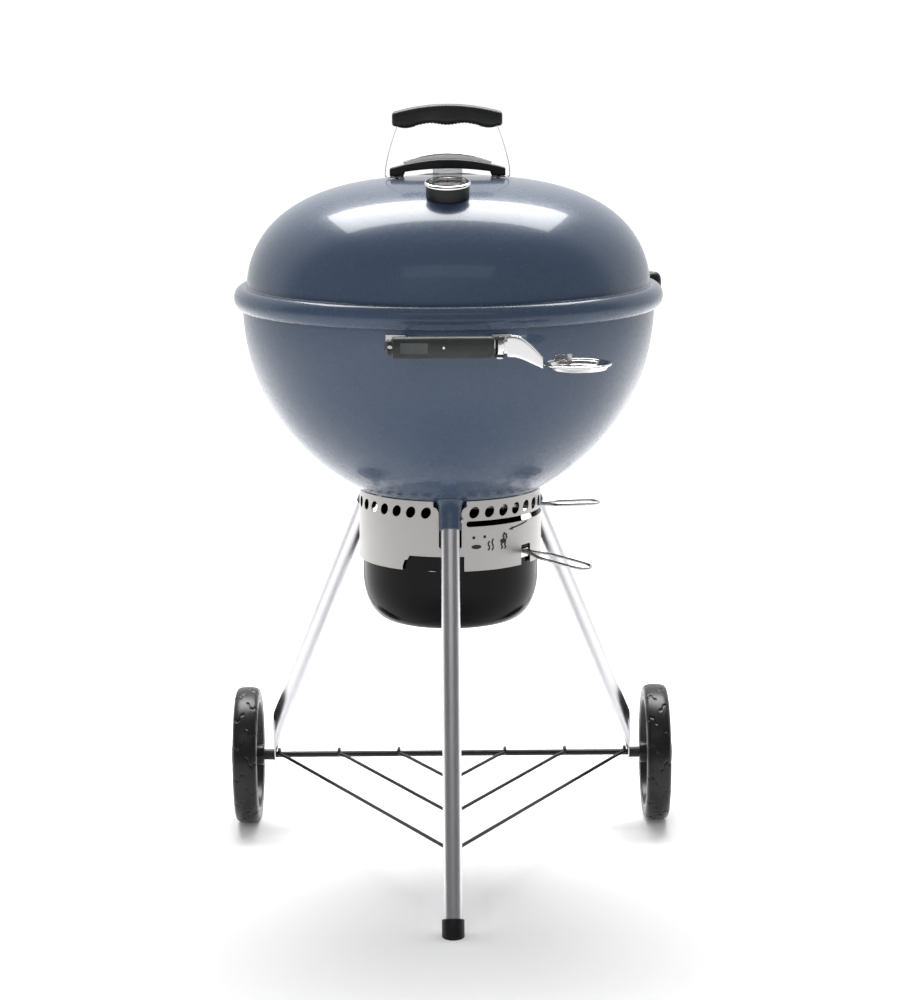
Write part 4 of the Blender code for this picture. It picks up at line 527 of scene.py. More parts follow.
BLUE = enamel("slate_blue_enamel", (0.0520, 0.0760, 0.1220), (0.0490, 0.0720, 0.1160), 0.24, 0.025)
BLACK_ENAMEL = enamel(
    "black_enamel", (0.0035, 0.0032, 0.0036), (0.0025, 0.0023, 0.0026), 0.16, 0.04, 0.10
)
BLACK_PLASTIC = moulded("black_plastic", (0.010, 0.010, 0.011), (0.018, 0.018, 0.019), 0.42)
OLIVE_PLASTIC = moulded("dark_grip_plastic", (0.021, 0.025, 0.023), (0.030, 0.034, 0.031), 0.46)
GREY_PLASTIC = moulded("grey_plastic", (0.030, 0.030, 0.032), (0.045, 0.045, 0.047), 0.40)
TYRE_PLASTIC = moulded(
    "tread_plastic", (0.011, 0.011, 0.012), (0.019, 0.019, 0.020), 0.32, 900.0, 0.00006
)
ALUMINIUM = metal("satin_aluminium", (0.88, 0.87, 0.90), 0.28, (2600.0, 2600.0, 18.0), 0.08, 0.000004)
RING_STEEL = brushed_round("ring_steel", (0.37, 0.36, 0.35), 0.32)
STEEL = metal("brushed_steel", (0.62, 0.61, 0.59), 0.34, (60.0, 1500.0, 1500.0))
POLISHED = metal("polished_steel", (0.83, 0.83, 0.84), 0.09, (300.0, 300.0, 300.0), 0.04, 0.00001)
# Polished shield steel whose pale colour is a painted reflection of the bright surroundings.
PAINTED_REFLECTION_STEEL = moulded("pale_steel", (0.86, 0.86, 0.87), (0.92, 0.92, 0.92), 0.35)
BRIGHT_WIRE = metal("plated_wire", (0.66, 0.66, 0.65), 0.24, (500.0, 500.0, 500.0), 0.08)
BLACK_WIRE = moulded("black_wire", (0.010, 0.010, 0.010), (0.016, 0.016, 0.016), 0.36, 2200.0)
NEEDLE_RED = moulded("needle_paint", (0.42, 0.025, 0.018), (0.48, 0.035, 0.025), 0.42)
LABEL_GREY = moulded("label_print", (0.060, 0.066, 0.066), (0.075, 0.080, 0.080), 0.5)
WHITE_PRINT = moulded("white_print", (0.80, 0.80, 0.78), (0.86, 0.86, 0.84), 0.5)
GLASS = gauge_glass()

# CAD nodes whose shape is right keep it and take the finished materials.
CARRIED_OVER = {
    STEEL: (
        "lid_damper_rivet", "lid_bolt_left", "lid_bolt_right", "leg_screw_front", "leg_screw_left",
        "leg_screw_right", "front_handle_bracket", "rear_handle_bracket", "lid_holder_bracket",
        "thermometer_probe", "vent_shaft", "vent_blades", "lid_damper",
    ),
    BRIGHT_WIRE: ("lid_holder_frame",),
    POLISHED: ("dish_pin",),
    BLACK_WIRE: ("axle",),
    GREY_PLASTIC: ("axle_bush_left", "axle_bush_right"),
    NEEDLE_RED: ("thermometer_needle",),
}
for finish, names in CARRIED_OVER.items():
    for node in names:
        materials = frame["nodes"][node].data.materials
        materials.clear()
        materials.append(finish)


# ------------------------------------------------------------------ bowl and lid
def dome(radius, depth, square_r, square_z, start, rows):
    """Superellipse from a share of a quarter turn to the pole: (radius cos^(2/n), rise sin^(2/m))."""
    t = np.linspace(start, 1, rows) * np.pi / 2
    across = radius * np.maximum(np.cos(t), 0) ** (2 / square_r)
    across[-1] = 0
    return np.stack([across, depth * np.sin(t) ** (2 / square_z)], -1)


def bowl_height(radius, inset=0.0):
    share = (np.asarray(radius, float) / (BOWL_RADIUS - inset)) ** BOWL_SQUARE_R
    return BOWL_HEIGHT - (BOWL_DEPTH - inset) * (1 - share) ** (1 / BOWL_SQUARE_Z)


def lid_height(radius, inset=0.0):
    share = (np.asarray(radius, float) / (LID_RADIUS - inset)) ** LID_SQUARE_R
    return LID_BASE + (LID_RISE - inset) * (1 - share) ** (1 / LID_SQUARE_Z)


def sector(inner, outer, low, high, start, end, steps=24):
    """A block between two radii, two heights and two angles."""
    angle = np.linspace(start, end, steps)
    corners = ((inner, low), (outer, low), (outer, high), (inner, high))
    return lofted(np.stack([around(angle, radius, height) for radius, height in corners], 1))


def make_bowl():
    """The bowl: outer superellipse, a rolled bead at the rim, the inner wall, three ash openings."""
    outer = dome(BOWL_RADIUS, BOWL_DEPTH, BOWL_SQUARE_R, BOWL_SQUARE_Z, 0.0, 96)
    inner = dome(BOWL_RADIUS - SHEET, BOWL_DEPTH - SHEET, BOWL_SQUARE_R, BOWL_SQUARE_Z, 0.0, 96)
    bead_centre = (BOWL_RADIUS - 0.0003, FLANGE_CENTRE[1] + FLANGE_UP - SHEET - BEAD - 0.0009)
    down = np.array([1.0, -1.0])
    lift = np.array([0.0, BOWL_HEIGHT])
    bead = arc(bead_centre, BEAD, BEAD, -60, 210, 20)
    profile = np.concatenate([(outer * down + lift)[::-1], bead, inner * down + lift])
    near, far = 0.040, 0.103  # radii between which the ash openings lie
    low, high = BOWL_BOTTOM - SHEET, float(bowl_height(far)) + 2 * SHEET
    cuts = [sector(near, far, low, high, angle - 15, angle + 15, 16) for angle in (60, 180, 300)]
    cuts.append(on_axis(rod(0.0058, low, high, 32)))
    piece("bowl_shell", on_axis(turned(profile, 224)), BLUE, "stand", ("bowl",), cuts=cuts)


def socket_line(angle):
    """End of a leg's bore, and the direction up along the leg."""
    top = around(angle, LEG_TOP_RADIUS, float(bowl_height(LEG_TOP_RADIUS)) - SOCKET_ROOF)
    up = around(angle, -sin(LEG_TILT), cos(LEG_TILT)) - AXIS
    return top, up


def make_sockets():
    """Leg sockets: short sleeves that flare like a trumpet into the bowl's underside."""
    skin, bore = LEG_TUBE + SOCKET_WALL, LEG_TUBE + 0.0003
    flare_start, flare_end, flare_out = -SOCKET_LENGTH / 2.2, 0.0078, 0.0046
    share = np.linspace(0, 1, 16)
    rise = flare_start + (SOCKET_LENGTH / 2.2 + flare_end) * share
    flare = np.stack([skin + flare_out * share**2.6, rise], -1)
    lip = [(bore, -SOCKET_LENGTH), (skin - 0.0006, -SOCKET_LENGTH), (skin, -SOCKET_LENGTH + 0.0008)]
    profile = np.concatenate([[(bore, 0.0)], lip, flare, [(0.004, flare_end), (0.004, 0.0)]])
    sleeve = turned(profile, 64, closed=True)
    sleeves = [aimed(sleeve, *socket_line(angle)) for angle in LEG_ANGLES.values()]
    piece("leg_sockets", joined(*sleeves), BLUE, "stand")


def make_lid():
    """The lid: dome, a rim that flares and curls under, the inner wall, and four draught holes."""
    start = float(np.arcsin((FLANGE_UP * 1.25 / LID_RISE) ** (LID_SQUARE_Z / 2)) / (np.pi / 2))
    lift = np.array([0.0, LID_BASE])
    shape = (LID_SQUARE_R, LID_SQUARE_Z, start, 110)
    outer, inner = (dome(LID_RADIUS - inset, LID_RISE - inset, *shape) + lift for inset in (0, SHEET))
    flange = arc(FLANGE_CENTRE, FLANGE_OUT, FLANGE_UP, 84, -62, 40)
    under = arc(FLANGE_CENTRE, FLANGE_OUT - SHEET, FLANGE_UP - SHEET, -62, 90, 40)
    fillet = curve([outer[3], outer[0] + (0.0002, -0.0020), flange[0], flange[4]], 8)[4:-8]
    profile = np.concatenate([outer[::-1][:-3], fillet, flange[1:], under, inner])
    joint = JOINTS["damper_turn"]
    hole_circle, holes = 0.0270, []
    for angle in np.radians((45, 135, 225, 315)):
        at = wound(angle, hole_circle, 0)
        hole = moved(rod(0.0080, -0.012, 0.012, 32), at)
        holes.append(aimed(hole, joint["pos_m"], joint["axis"]))
    piece("lid_dome", on_axis(turned(profile, 256)), BLUE, "lid", ("lid_shell",), cuts=holes)


# ------------------------------------------------------------------ lid handle
STRIP_HEIGHT = float(lid_height(ARCH_HALF - ARCH_FOOT - 0.004)) + 0.0003 + 0.0008
ARCH_FOOT_HEIGHT = STRIP_HEIGHT + 0.0008 + 0.0003


def grip_top(x):
    return LID_APEX + GRIP_TOP - GRIP_CROWN * (x / GRIP_HALF) ** 2


def grip_under(x):
    """Underside of the lid grip: a shallow bulge, two finger hollows and a lobe near each end."""
    share = np.abs(x) / GRIP_HALF
    hollow = 0.0028 * np.sin(np.minimum(share / 0.62, 1.0) * pi) ** 2
    lobe = 0.0030 * np.sin(np.clip((share - 0.55) / 0.40, 0, 1) * pi)
    return LID_APEX + GRIP_TOP - GRIP_THICK + hollow - lobe - 0.0012 * share


def make_lid_grip():
    """The grip: rounded-box rings from end to end; the middle of its underside carries small ribs."""
    share = np.linspace(-1, 1, 340)
    x = GRIP_HALF * share
    ends = 1 - 0.22 * ease(0.955, 1.0, np.abs(share)) ** 2
    groove = 1 - 0.03 * np.exp(-(((np.abs(share) - 0.895) / 0.006) ** 2))
    top, under = grip_top(x), grip_under(x)
    section = oval(1.0, 1.0, 64, 4.0)
    half = (top - under) / 2 * ends * groove
    middle = (top + under) / 2
    ribs = 0.0007 * (0.5 + 0.5 * np.cos(2 * pi * x / 0.0048)) * ease(0.60, 0.54, np.abs(share))
    low_side = np.clip(-section[:, 1], 0, 1) ** 3
    z = middle[:, None] + half[:, None] * section[None, :, 1] + ribs[:, None] * low_side[None, :]
    y = KETTLE_Y + GRIP_HALF_DEPTH * (ends * groove)[:, None] * section[None, :, 0]
    surface = lofted(rings_along(x, y, z))
    piece("lid_grip_moulding", surface, BLACK_PLASTIC, "lid", ("lid_grip",))


def make_straps():
    """Spring-steel straps: a thin band with rounded edges, leaning inwards ever faster as it rises."""
    low, high = STRIP_HEIGHT + 0.0060, float(grip_under(np.array(0.0)))
    for side, name in ((-1, "left"), (1, "right")):
        z = np.linspace(high, low, 28)
        share = np.maximum(z - STRIP_HEIGHT - 0.004, 0) / (high - STRIP_HEIGHT - 0.004)
        x = 0.0862 - 0.0178 * share**1.5
        rise = np.stack([side * x, np.full_like(x, KETTLE_Y), z], -1)
        top = [(side * x[0], KETTLE_Y, high + 0.010)]
        foot = [(0.0862, 0.0030), (0.0850, 0.0012), (0.0817, 0.0), (0.0601, 0.0)]
        bend = [(side * out, KETTLE_Y, STRIP_HEIGHT + up) for out, up in foot]
        path = np.concatenate([top, rise, curve(bend, 5)])
        band = carried(path, oval(0.0110, 0.0008, 28, 5.0), (0, 1, 0))
        piece(f"strap_{name}", band, POLISHED, "lid", (f"lid_strap_{name}",), crease=50)


def make_arch():
    """The lower arch: rounded-box rings whose underside drops at each end into a foot."""
    top = LID_APEX + ARCH_TOP
    inner = ARCH_HALF - ARCH_FOOT
    stations = ((-1, -0.72, 60), (-0.715, 0.715, 120), (0.72, 1, 60))  # closer where the feet drop
    x = np.concatenate([np.linspace(*station) for station in stations]) * ARCH_HALF
    over = top - ARCH_SAG * (x / ARCH_HALF) ** 2
    vault = top - ARCH_THICK - 0.0046 * (x / inner) ** 2
    foot = ease(inner - 0.0028, inner + 0.0004, np.abs(x))
    under = vault + (ARCH_FOOT_HEIGHT - vault) * foot
    ends = 1 - 0.10 * ease(0.975, 1.0, np.abs(x) / ARCH_HALF)
    section = oval(1.0, 1.0, 48, 6.0)
    z = (over + under)[:, None] / 2 + ((over - under) / 2 * ends)[:, None] * section[None, :, 1]
    y = KETTLE_Y + ARCH_HALF_DEPTH * ends[:, None] * section[None, :, 0]
    surface = lofted(rings_along(x, y, z))
    piece("arch_moulding", surface, BLACK_PLASTIC, "lid", ("lid_handle_arch",))


def make_shield():
    """The heat shield: a thin plate with an arched top edge that ends in a small rolled hem."""
    top, half, sag = LID_APEX + 0.0320, 0.0620, 0.0113
    x = np.linspace(-1, 1, 90) * half
    edge = np.stack([x, top - 0.0010 - sag * (x / half) ** 2], -1)
    foot = LID_APEX + ARCH_TOP - ARCH_THICK
    outline = np.concatenate([edge, [(0.0558, foot), (-0.0558, foot)]])
    back = KETTLE_Y + ARCH_HALF_DEPTH + 0.0003
    sheet = plate(outline, back, back + 0.0012, "y", 0.0002)
    hem_path = np.insert(edge, 1, back + 0.0006, axis=1)
    swell = 0.2 + 0.8 * ease(0.78, 0.45, np.abs(x) / half)
    hem = carried(hem_path, oval(0.0011, 0.0011, 14), (0, 1, 0), swell=swell)
    # The plate's pale colour is a painted reflection of the bright surroundings that the polished plate
    # mirrors.
    piece("shield_plate", sheet, PAINTED_REFLECTION_STEEL, "lid", ("lid_heat_shield",))
    piece("shield_hem", hem, STEEL, "lid")


# ------------------------------------------------------------------ thermometer
def make_thermometer():
    """Housing cut to the lid's slope, a dished dial, a lens and a rolled bright bezel."""
    joint = JOINTS["needle_turn"]
    origin, direction = joint["pos_m"], joint["axis"]
    distance = KETTLE_Y - origin[1]
    slope = atan(float(lid_height(distance - 0.0005) - lid_height(distance + 0.0005)) / 0.001)
    lean = tan(slope - atan2(-direction[1], direction[2]))
    top, pit, window = GAUGE_HEIGHT, 0.0110, 0.0262  # housing top, its floor, the lens's radius
    profile = [(NEEDLE_BORE, 0.0), (GAUGE_RADIUS, 0.0), (GAUGE_RADIUS, top)]
    profile += [(0.0265, top), (0.0265, pit), (NEEDLE_BORE, pit)]
    points, faces = turned(rounded(profile, 0.0004, 4, closed=True), 128, closed=True)
    low = ease(0.006, 0.0, points[:, 2])
    points = points + np.stack([0 * low, 0 * low, low * (points[:, 1] * lean + 0.0003)], -1)
    roll = arc((BEZEL_RADIUS - 0.0030, top - 0.0005), 0.0030, 0.0030, 0, 90, 10)
    lip = [(0.0250, top + 0.0024), (0.0245, top + 0.0012), (0.0245, top + 0.0003)]
    skirt = [(0.0293, top + 0.0003), (0.0293, top - 0.0016), (BEZEL_RADIUS, top - 0.0016)]
    bezel = turned(np.concatenate([roll, lip, skirt]), 128, closed=True)
    liner = band(0.0256, window, 0.0126, 0.0160, 128)
    lens = [(0, 0.0162), (window, 0.0162), (window, top), (0.0180, top + 0.0002), (0, top + 0.0003)]
    dial = band(NEEDLE_BORE, window, 0.0113, 0.0123, 96)
    for name, surface, finish, part in (
        ("gauge_housing", (points, faces), BLACK_PLASTIC, "thermometer_housing"),
        ("gauge_bezel", joined(bezel, liner), POLISHED, "thermometer_bezel"),
        ("gauge_lens", turned(lens, 96), GLASS, "thermometer_glass"),
        ("gauge_dial", dial, dial_face(origin, direction), "thermometer_dial"),
    ):
        piece(name, aimed(surface, origin, direction), finish, "lid", (part,))


# ------------------------------------------------------------------ legs, wheels, rack
def leg_radius(height):
    top = float(bowl_height(LEG_TOP_RADIUS)) - SOCKET_ROOF
    return LEG_TOP_RADIUS + (top - height) * tan(LEG_TILT)


def make_front_leg():
    """A plain drawn tube, and the cap that its lower end stands in, sliced level with the floor."""
    top, up = socket_line(0.0)
    length = top[2] / cos(LEG_TILT)
    end = -(length - 0.0035 / cos(LEG_TILT) - LEG_TUBE * tan(LEG_TILT) - 0.0003)
    inner = LEG_TUBE - LEG_WALL
    tube = band(inner, LEG_TUBE, end, -0.0003, 96)
    tip_back = leg_radius(WHEEL_RADIUS - 0.0001) - LEG_TUBE / cos(LEG_TILT)
    tip = (0, KETTLE_Y - tip_back, WHEEL_RADIUS - 0.0001)
    bore = aimed(rod(0.0028, -0.02, 0.02, 24), tip, (0, 1, 0))
    piece("front_leg_tube", aimed(tube, top, up), ALUMINIUM, "stand", ("leg_front",), cuts=[bore])
    skin = LEG_TUBE + 0.0003
    crown = -length + FOOT_HEIGHT / cos(LEG_TILT)
    crown, floor, flat = crown + length, end + length, skin + 0.002
    outer = [(0, 0.0), (flat, 0.0), (flat, crown), (skin, crown), (skin, floor), (0, floor)]
    points, faces = turned(rounded(outer, 0.0007), 96)
    sole = points[:, 1] * tan(LEG_TILT)
    low = ease(0.012, 0.0, points[:, 2])
    points = points + np.stack([0 * low, 0 * low, low * sole - length], -1)
    piece("front_foot", aimed((points, faces), top, up), BLACK_PLASTIC, "stand", ("foot_cap",))


def make_rear_leg(name, angle):
    """A tube whose lower end is planed off upright, with a flat tongue that hangs on the axle."""
    side = 1 if name == "right" else -1
    top, up = socket_line(angle)
    cut_x = leg_radius(WHEEL_RADIUS) * sin(radians(60)) - LEG_CUT_IN
    across = unit(np.cross(up, (0.0, 0.0, 1.0)))
    other = np.cross(up, across)
    a = np.linspace(0, 2 * pi, 96, endpoint=False)[:, None]
    rim = across * np.cos(a) + other * np.sin(a)
    rings = []
    for radius in (LEG_TUBE - LEG_WALL, LEG_TUBE):
        start = top + rim * radius
        reach = (side * cut_x - start[:, :1]) / -up[0]
        rings.append((start - up * 0.0003, start - up * reach))
    (inner_top, inner_low), (outer_top, outer_low) = rings
    share = np.linspace(0, 1, 40)[:, None, None]
    wall = outer_top + (outer_low - outer_top) * share
    bore = inner_low + (inner_top - inner_low) * share
    tube = grid(np.concatenate([wall, bore]), wrap_rows=True, wrap_columns=True)
    lean = cos(radians(60)) * tan(LEG_TILT)
    turn = np.degrees(atan(lean))
    low = (AXLE_Y + KETTLE_Y, WHEEL_RADIUS)
    high = (low[0] - 0.0520 * lean, low[1] + 0.0520)
    round_low = arc(low, 0.0119, 0.0119, 180 + turn, 360 + turn, 24)
    round_high = arc(high, 0.0103, 0.0103, turn, 180 + turn, 20)
    outline = np.concatenate([round_low, round_high])
    near, far = sorted((side * (cut_x + 0.0002 - TONGUE_THICK), side * (cut_x + 0.0002)))
    tongue = plate(outline, near, far, "x", 0.0003)
    tongue_hole = aimed(rod(0.0048, -0.02, 0.02, 32), (side * cut_x, *low), (1, 0, 0))
    piece(f"{name}_leg_tube", tube, ALUMINIUM, "stand", (f"leg_{name}",))
    piece(f"{name}_leg_tongue", tongue, ALUMINIUM, "stand", cuts=[tongue_hole])


def tread_surface():
    """Tyre about Z: a crowned band whose outer face is pressed in along zigzag grooves."""
    half = WHEEL_WIDTH / 2
    grooves, rows, columns, groove_depth = 14, 72, 672, 0.0013
    shoulder = ((0.0848, 0.86), (0.0915, 0.985), (WHEEL_RADIUS - 0.0022, 0.82), (WHEEL_RADIUS, 0.35))
    outline = [(radius, -half * share) for radius, share in shoulder]
    outline += [(radius, half * share) for radius, share in shoulder[::-1]]
    radius, height = evenly(rounded(outline, 0.0048, 8), rows)
    a = np.linspace(0, 2 * pi, columns, endpoint=False)[None, :]
    across = (height / half)[:, None]
    depth = np.zeros((rows, columns))
    for offset, side in ((0.0, 1.0), (0.5, -1.0)):
        bent = across * side
        zig = 0.20 * np.clip(bent, 0, 1) + 0.16 * ease(0.28, 0.40, bent)
        zig = zig - 0.12 * ease(0.62, 0.72, bent)
        phase = (a * grooves / (2 * pi) + offset + zig) % 1.0
        line = np.exp(-(((phase - 0.5) / 0.040) ** 2)) * ease(0.02, 0.12, bent)
        depth = np.maximum(depth, line)
    face = ease(WHEEL_RADIUS - 0.0100, WHEEL_RADIUS - 0.0040, radius)[:, None]
    depth = groove_depth * depth * face
    points = wound(a, radius[:, None] - depth, height[:, None])
    return grid(points, wrap_rows=True, wrap_columns=True)


def hub_surface():
    """Wheel body about Z: a dished disc between boss and rim, with shallow ribs pressed out of it."""
    face, rim, boss, bore = WHEEL_WIDTH / 2 * 0.9, 0.0843, 0.0235, 0.0048
    rib_count, rib_height = 10, 0.0026
    outline = [(bore, -boss), (0.0150, -boss), (0.0162, -0.0060), (rim - 0.0075, -0.0040)]
    outline += [(rim - 0.0045, -face), (rim, -face), (rim, face), (rim - 0.0045, face)]
    outline += [(rim - 0.0075, 0.0045), (0.0218, 0.0062), (0.0205, face), (bore, face)]
    radius, height = evenly(rounded(outline, 0.0014, 5, closed=True), 150)
    a = np.linspace(0, 2 * pi, 360, endpoint=False)[None, :]
    web = (ease(0.0240, 0.0300, radius) * ease(rim - 0.0065, rim - 0.0120, radius))[:, None]
    ribs = ease(0.55, 0.85, np.cos(a * rib_count))
    lift = rib_height * web * ribs * np.sign(height)[:, None]
    points = wound(a, radius[:, None], height[:, None] + lift)
    return grid(points, wrap_rows=True, wrap_columns=True)


def make_wheels():
    """Both wheels: tyre, hub, and a domed cap over the end of the axle."""
    cap = [(0, 0.0228), (0.0048, 0.0228), (0.0048, 0.0174), (0.0195, 0.0174)]
    cap += [(0.0180, 0.0245), (0.0100, 0.0255), (0, 0.0260)]
    shapes = (
        ("tyre", tread_surface(), TYRE_PLASTIC, "tread", 60),
        ("hub", hub_surface(), TYRE_PLASTIC, "hub", 60),
        ("hub_cap", turned(rounded(cap, 0.0009), 96), GREY_PLASTIC, "cap", 32.0),
    )
    for side, name in ((-1, "left"), (1, "right")):
        centre = (side * WHEEL_CENTRE_X, AXLE_Y + KETTLE_Y, WHEEL_RADIUS)
        for kind, shape, finish, part, crease in shapes:
            surface = aimed(shape, centre, (side, 0, 0))
            stands_for = (f"wheel_{name}_{part}",)
            piece(f"{name}_{kind}", surface, finish, f"{name}_wheel", stands_for, crease=crease)


def make_rack():
    """The bottom rack: three bent wires whose ends hook over the axle, on one wire along the middle."""
    spine_height = WHEEL_RADIUS - 0.0001
    level = WHEEL_RADIUS + 0.0020
    tip_y = -(leg_radius(spine_height) - LEG_TUBE / cos(LEG_TILT))
    axle_y = AXLE_Y
    start_y = axle_y - 0.0200
    clear = 0.0045 + RACK_WIRE + 0.0007
    a = np.radians([20, 45, 70, 95, 120, 145, 165])
    wires = []
    for i in range(3):
        peak = tip_y - 0.0180 + i * RACK_PITCH / RACK_SLOPE
        corner_y = tip_y + 1.3 * RACK_WIRE + 0.0003 if i == 0 else peak + 0.0060
        corner_x, start_x, hook_x = ((y - peak) * RACK_SLOPE for y in (corner_y, start_y, axle_y))
        hook_y, hook_z = axle_y + clear * np.cos(a), WHEEL_RADIUS + clear * np.sin(a)
        hook = np.stack([np.full(7, hook_x), hook_y, hook_z], -1)
        run = [(start_x, start_y, level), (start_x - 0.002, start_y - 0.002 / RACK_SLOPE, level)]
        half = np.concatenate([hook, run, [(corner_x, corner_y, level)]])
        path = np.concatenate([half * (-1, 1, 1), half[::-1]]) + AXIS
        wires.append(carried(rounded(path, 0.0022, 5), oval(RACK_WIRE, RACK_WIRE, 16)))
    spine_end = tip_y - 0.0180 + 2 * RACK_PITCH / RACK_SLOPE + 0.0300
    spine = np.array([(0, tip_y - 0.0036, spine_height), (0, spine_end, spine_height)]) + AXIS
    wires.append(carried(spine, oval(RACK_WIRE * 0.98, RACK_WIRE * 0.98, 16)))
    piece("rack_wires", joined(*wires), BLACK_WIRE, "stand", ("bottom_rack",), crease=50)


# ------------------------------------------------------------------ ash ring, pot and levers
def ring_cut(outline):
    """A cutter through the ring's wall: an outline of (degrees from the front, height) points."""
    outline = np.asarray(outline, float)
    radii = (RING_RADIUS + 0.006, RING_RADIUS - 0.007)
    return lofted([around(outline[:, 0], radius, outline[:, 1]) for radius in radii])


def on_ring(width):
    """Degrees round the ring that a width in metres spans."""
    return np.degrees(width / RING_RADIUS)


def hole_outline(angle, height, half_wide, half_tall, lean=0.0, steps=28):
    """A leaning oval on the ring's wall."""
    shape = oval(half_wide, half_tall, steps)
    return np.stack([angle + on_ring(shape[:, 0] + lean * shape[:, 1]), height + shape[:, 1]], -1)


def slot_outline(start, end, low, high, corner=0.0035, steps=12):
    """A long window with round corners, its edges stepped finely enough to follow the ring."""
    across = on_ring(corner)
    left, right, bottom, top = start + across, end - across, low + corner, high - corner
    corners = ((right, bottom, -90), (right, top, 0), (left, top, 90), (left, bottom, 180))
    bends = [arc((u, v), across, corner, turn, turn + 90, 7) for u, v, turn in corners]
    parts = []
    for bend, following in zip(bends, bends[1:] + bends[:1]):
        t = np.linspace(0, 1, steps + 2)[1:-1, None]
        parts += [bend, bend[-1] + (following[0] - bend[-1]) * t]
    return np.concatenate(parts)


def ring_mark(path, wide, closed=False):
    """A pressed-in dark mark on the ring: a flat ribbon that stands a hair proud of the wall."""
    path = np.asarray(path, float)
    points = around(path[:, 0], RING_RADIUS + 0.00025, path[:, 1])
    return carried(points, oval(wide / 2, 0.0002, 10, 3.0), (0, 0, 1), closed)


def ring_patch(outline):
    """A flat dark patch on the ring, let a little into the wall."""
    lifts = (-0.0004, 0.0003)
    return lofted([around(outline[:, 0], RING_RADIUS + lift, outline[:, 1]) for lift in lifts])


def make_ring():
    """The ash ring: rolled sheet with draught holes, leg notches, the lever's slot, a lower edge."""
    inner = RING_RADIUS - RING_SHEET
    top = float(bowl_height(inner)) - 0.0003
    edge = 0.0003
    low, outer = RING_BOTTOM, RING_RADIUS
    profile = [(inner + edge, low), (outer - edge, low), (outer, low + edge), (outer, top - edge)]
    profile += [(outer - edge, top), (inner + edge, top), (inner, top - edge), (inner, low + edge)]
    cuts = []
    floor = float(bowl_height(LEG_TOP_RADIUS)) - SOCKET_ROOF - 0.0574
    notch, bend = 7.0, on_ring(0.0080)
    for angle in LEG_ANGLES.values():
        left, right = angle - notch, angle + notch
        cuts.append(ring_cut(slot_outline(left, right, floor, top - 0.0120, 0.0035)))
        right_bend = arc((right + bend, top - 0.0180), bend, 0.0100, 180, 90, 10)
        left_bend = arc((left - bend, top - 0.0180), bend, 0.0100, 90, 0, 10)
        above = [(angle + 16.0, top + 0.0100), (angle - 16.0, top + 0.0100)]
        shoulder = np.concatenate([right_bend, above, left_bend])
        flat = np.clip(shoulder[:, 0], angle - 10.3, angle + 10.3)
        cuts.append(ring_cut(np.stack([flat, shoulder[:, 1]], -1)))
        for turn in range(15, 115, 10):
            hole = hole_outline(angle + turn, BOWL_BOTTOM + 0.0156, 0.0070, 0.0080, 0.22)
            cuts.append(ring_cut(hole))
    slot = LEVER_HEIGHT - 0.0040
    # A cutter that spans many degrees would pass through the wall, so the slot is cut in windows.
    for start in np.linspace(10.0, 95.0, 9):
        window = slot_outline(start, min(start + 15.0, 108.0), slot, slot + 0.0080, 0.0038)
        cuts.append(ring_cut(window))
    recess = [(-31.0, low - 0.01), (8.5, low - 0.01), (8.5, low + 0.0210)]
    recess += [(x, low + 0.0210) for x in np.linspace(7.0, -26.0, 24)]
    recess += [(-27.6, low + 0.0150), (-29.6, low + 0.0140), (-31.0, low + 0.0050)]
    cuts.append(ring_cut(recess))
    cuts.append(ring_cut(slot_outline(50.0, 60.0, low - 0.02, low + 0.0280, 0.0030)))
    surface = on_axis(turned(profile, 288, closed=True))
    piece("ring_band", surface, RING_STEEL, "stand", ("ash_ring",), cuts=cuts)


def make_ring_marks():
    """Plain pictures on the ring's right side: two draught settings, the dots over them and an arrow."""
    dots = ((14.6, 0.4870, 0.0022, 0.0022), (21.6, 0.4875, 0.0022, 0.0022))
    dots += ((35.5, 0.4890, 0.0018, 0.0020),)
    ovals = ((16.2, 0.4740, 0.0072, 0.0030), (34.6, 0.4790, 0.0052, 0.0030))
    marks = [ring_patch(hole_outline(*mark)) for mark in dots + ovals]
    t = np.linspace(0, 1, 24)
    waves = ((23.8, 0.4680, 0.4805), (26.4, 0.4675, 0.4835), (33.0, 0.4680, 0.4765))
    waves += ((35.4, 0.4680, 0.4765), (36.4, 0.4815, 0.4880), (34.2, 0.4815, 0.4880))
    for angle, low, high in waves:
        wave = np.stack([angle + 0.7 * np.sin(t * 2 * pi) + 1.2 * t, low + (high - low) * t], -1)
        marks.append(ring_mark(wave, 0.0023))
    shaft = np.stack([np.linspace(41.5, 56.0, 20), 0.4945 + 0.0055 * np.linspace(0, 1, 20)], -1)
    marks.append(ring_mark(shaft, 0.0022))
    head = np.array([(38.5, 0.4938), (42.4, 0.4972), (41.7, 0.4945), (42.6, 0.4920)])
    marks.append(ring_patch(head))
    piece("ring_pictures", joined(*marks), BLACK_PLASTIC, "stand")


def make_pot():
    """The ash pot: an oval-cornered cup with a rolled rim."""
    wide, tall = 0.0360, 0.0630  # half axes of the corner between wall and floor
    centre = (POT_RADIUS - wide, POT_FLOOR + tall)
    rim, wall = RING_RADIUS - RING_SHEET - 0.0005, POT_RADIUS - POT_SHEET
    outer = np.concatenate([[(0, POT_FLOOR)], arc(centre, wide, tall, -90, 0, 60)])
    lip = [(POT_RADIUS, POT_TOP - 0.0060), (POT_RADIUS, POT_TOP - 0.0035), (rim, POT_TOP - 0.0025)]
    lip += [(rim, POT_TOP), (wall, POT_TOP), (wall, POT_TOP - 0.0060)]
    corner = arc(centre, wide - POT_SHEET, tall - POT_SHEET, 0, -90, 60)
    inner = np.concatenate([corner, [(0, POT_FLOOR + POT_SHEET)]])
    surface = turned(np.concatenate([outer, rounded(lip, 0.0008), inner]), 224)
    piece("pot_cup", on_axis(surface), BLACK_ENAMEL, "pot", ("ash_pot",))


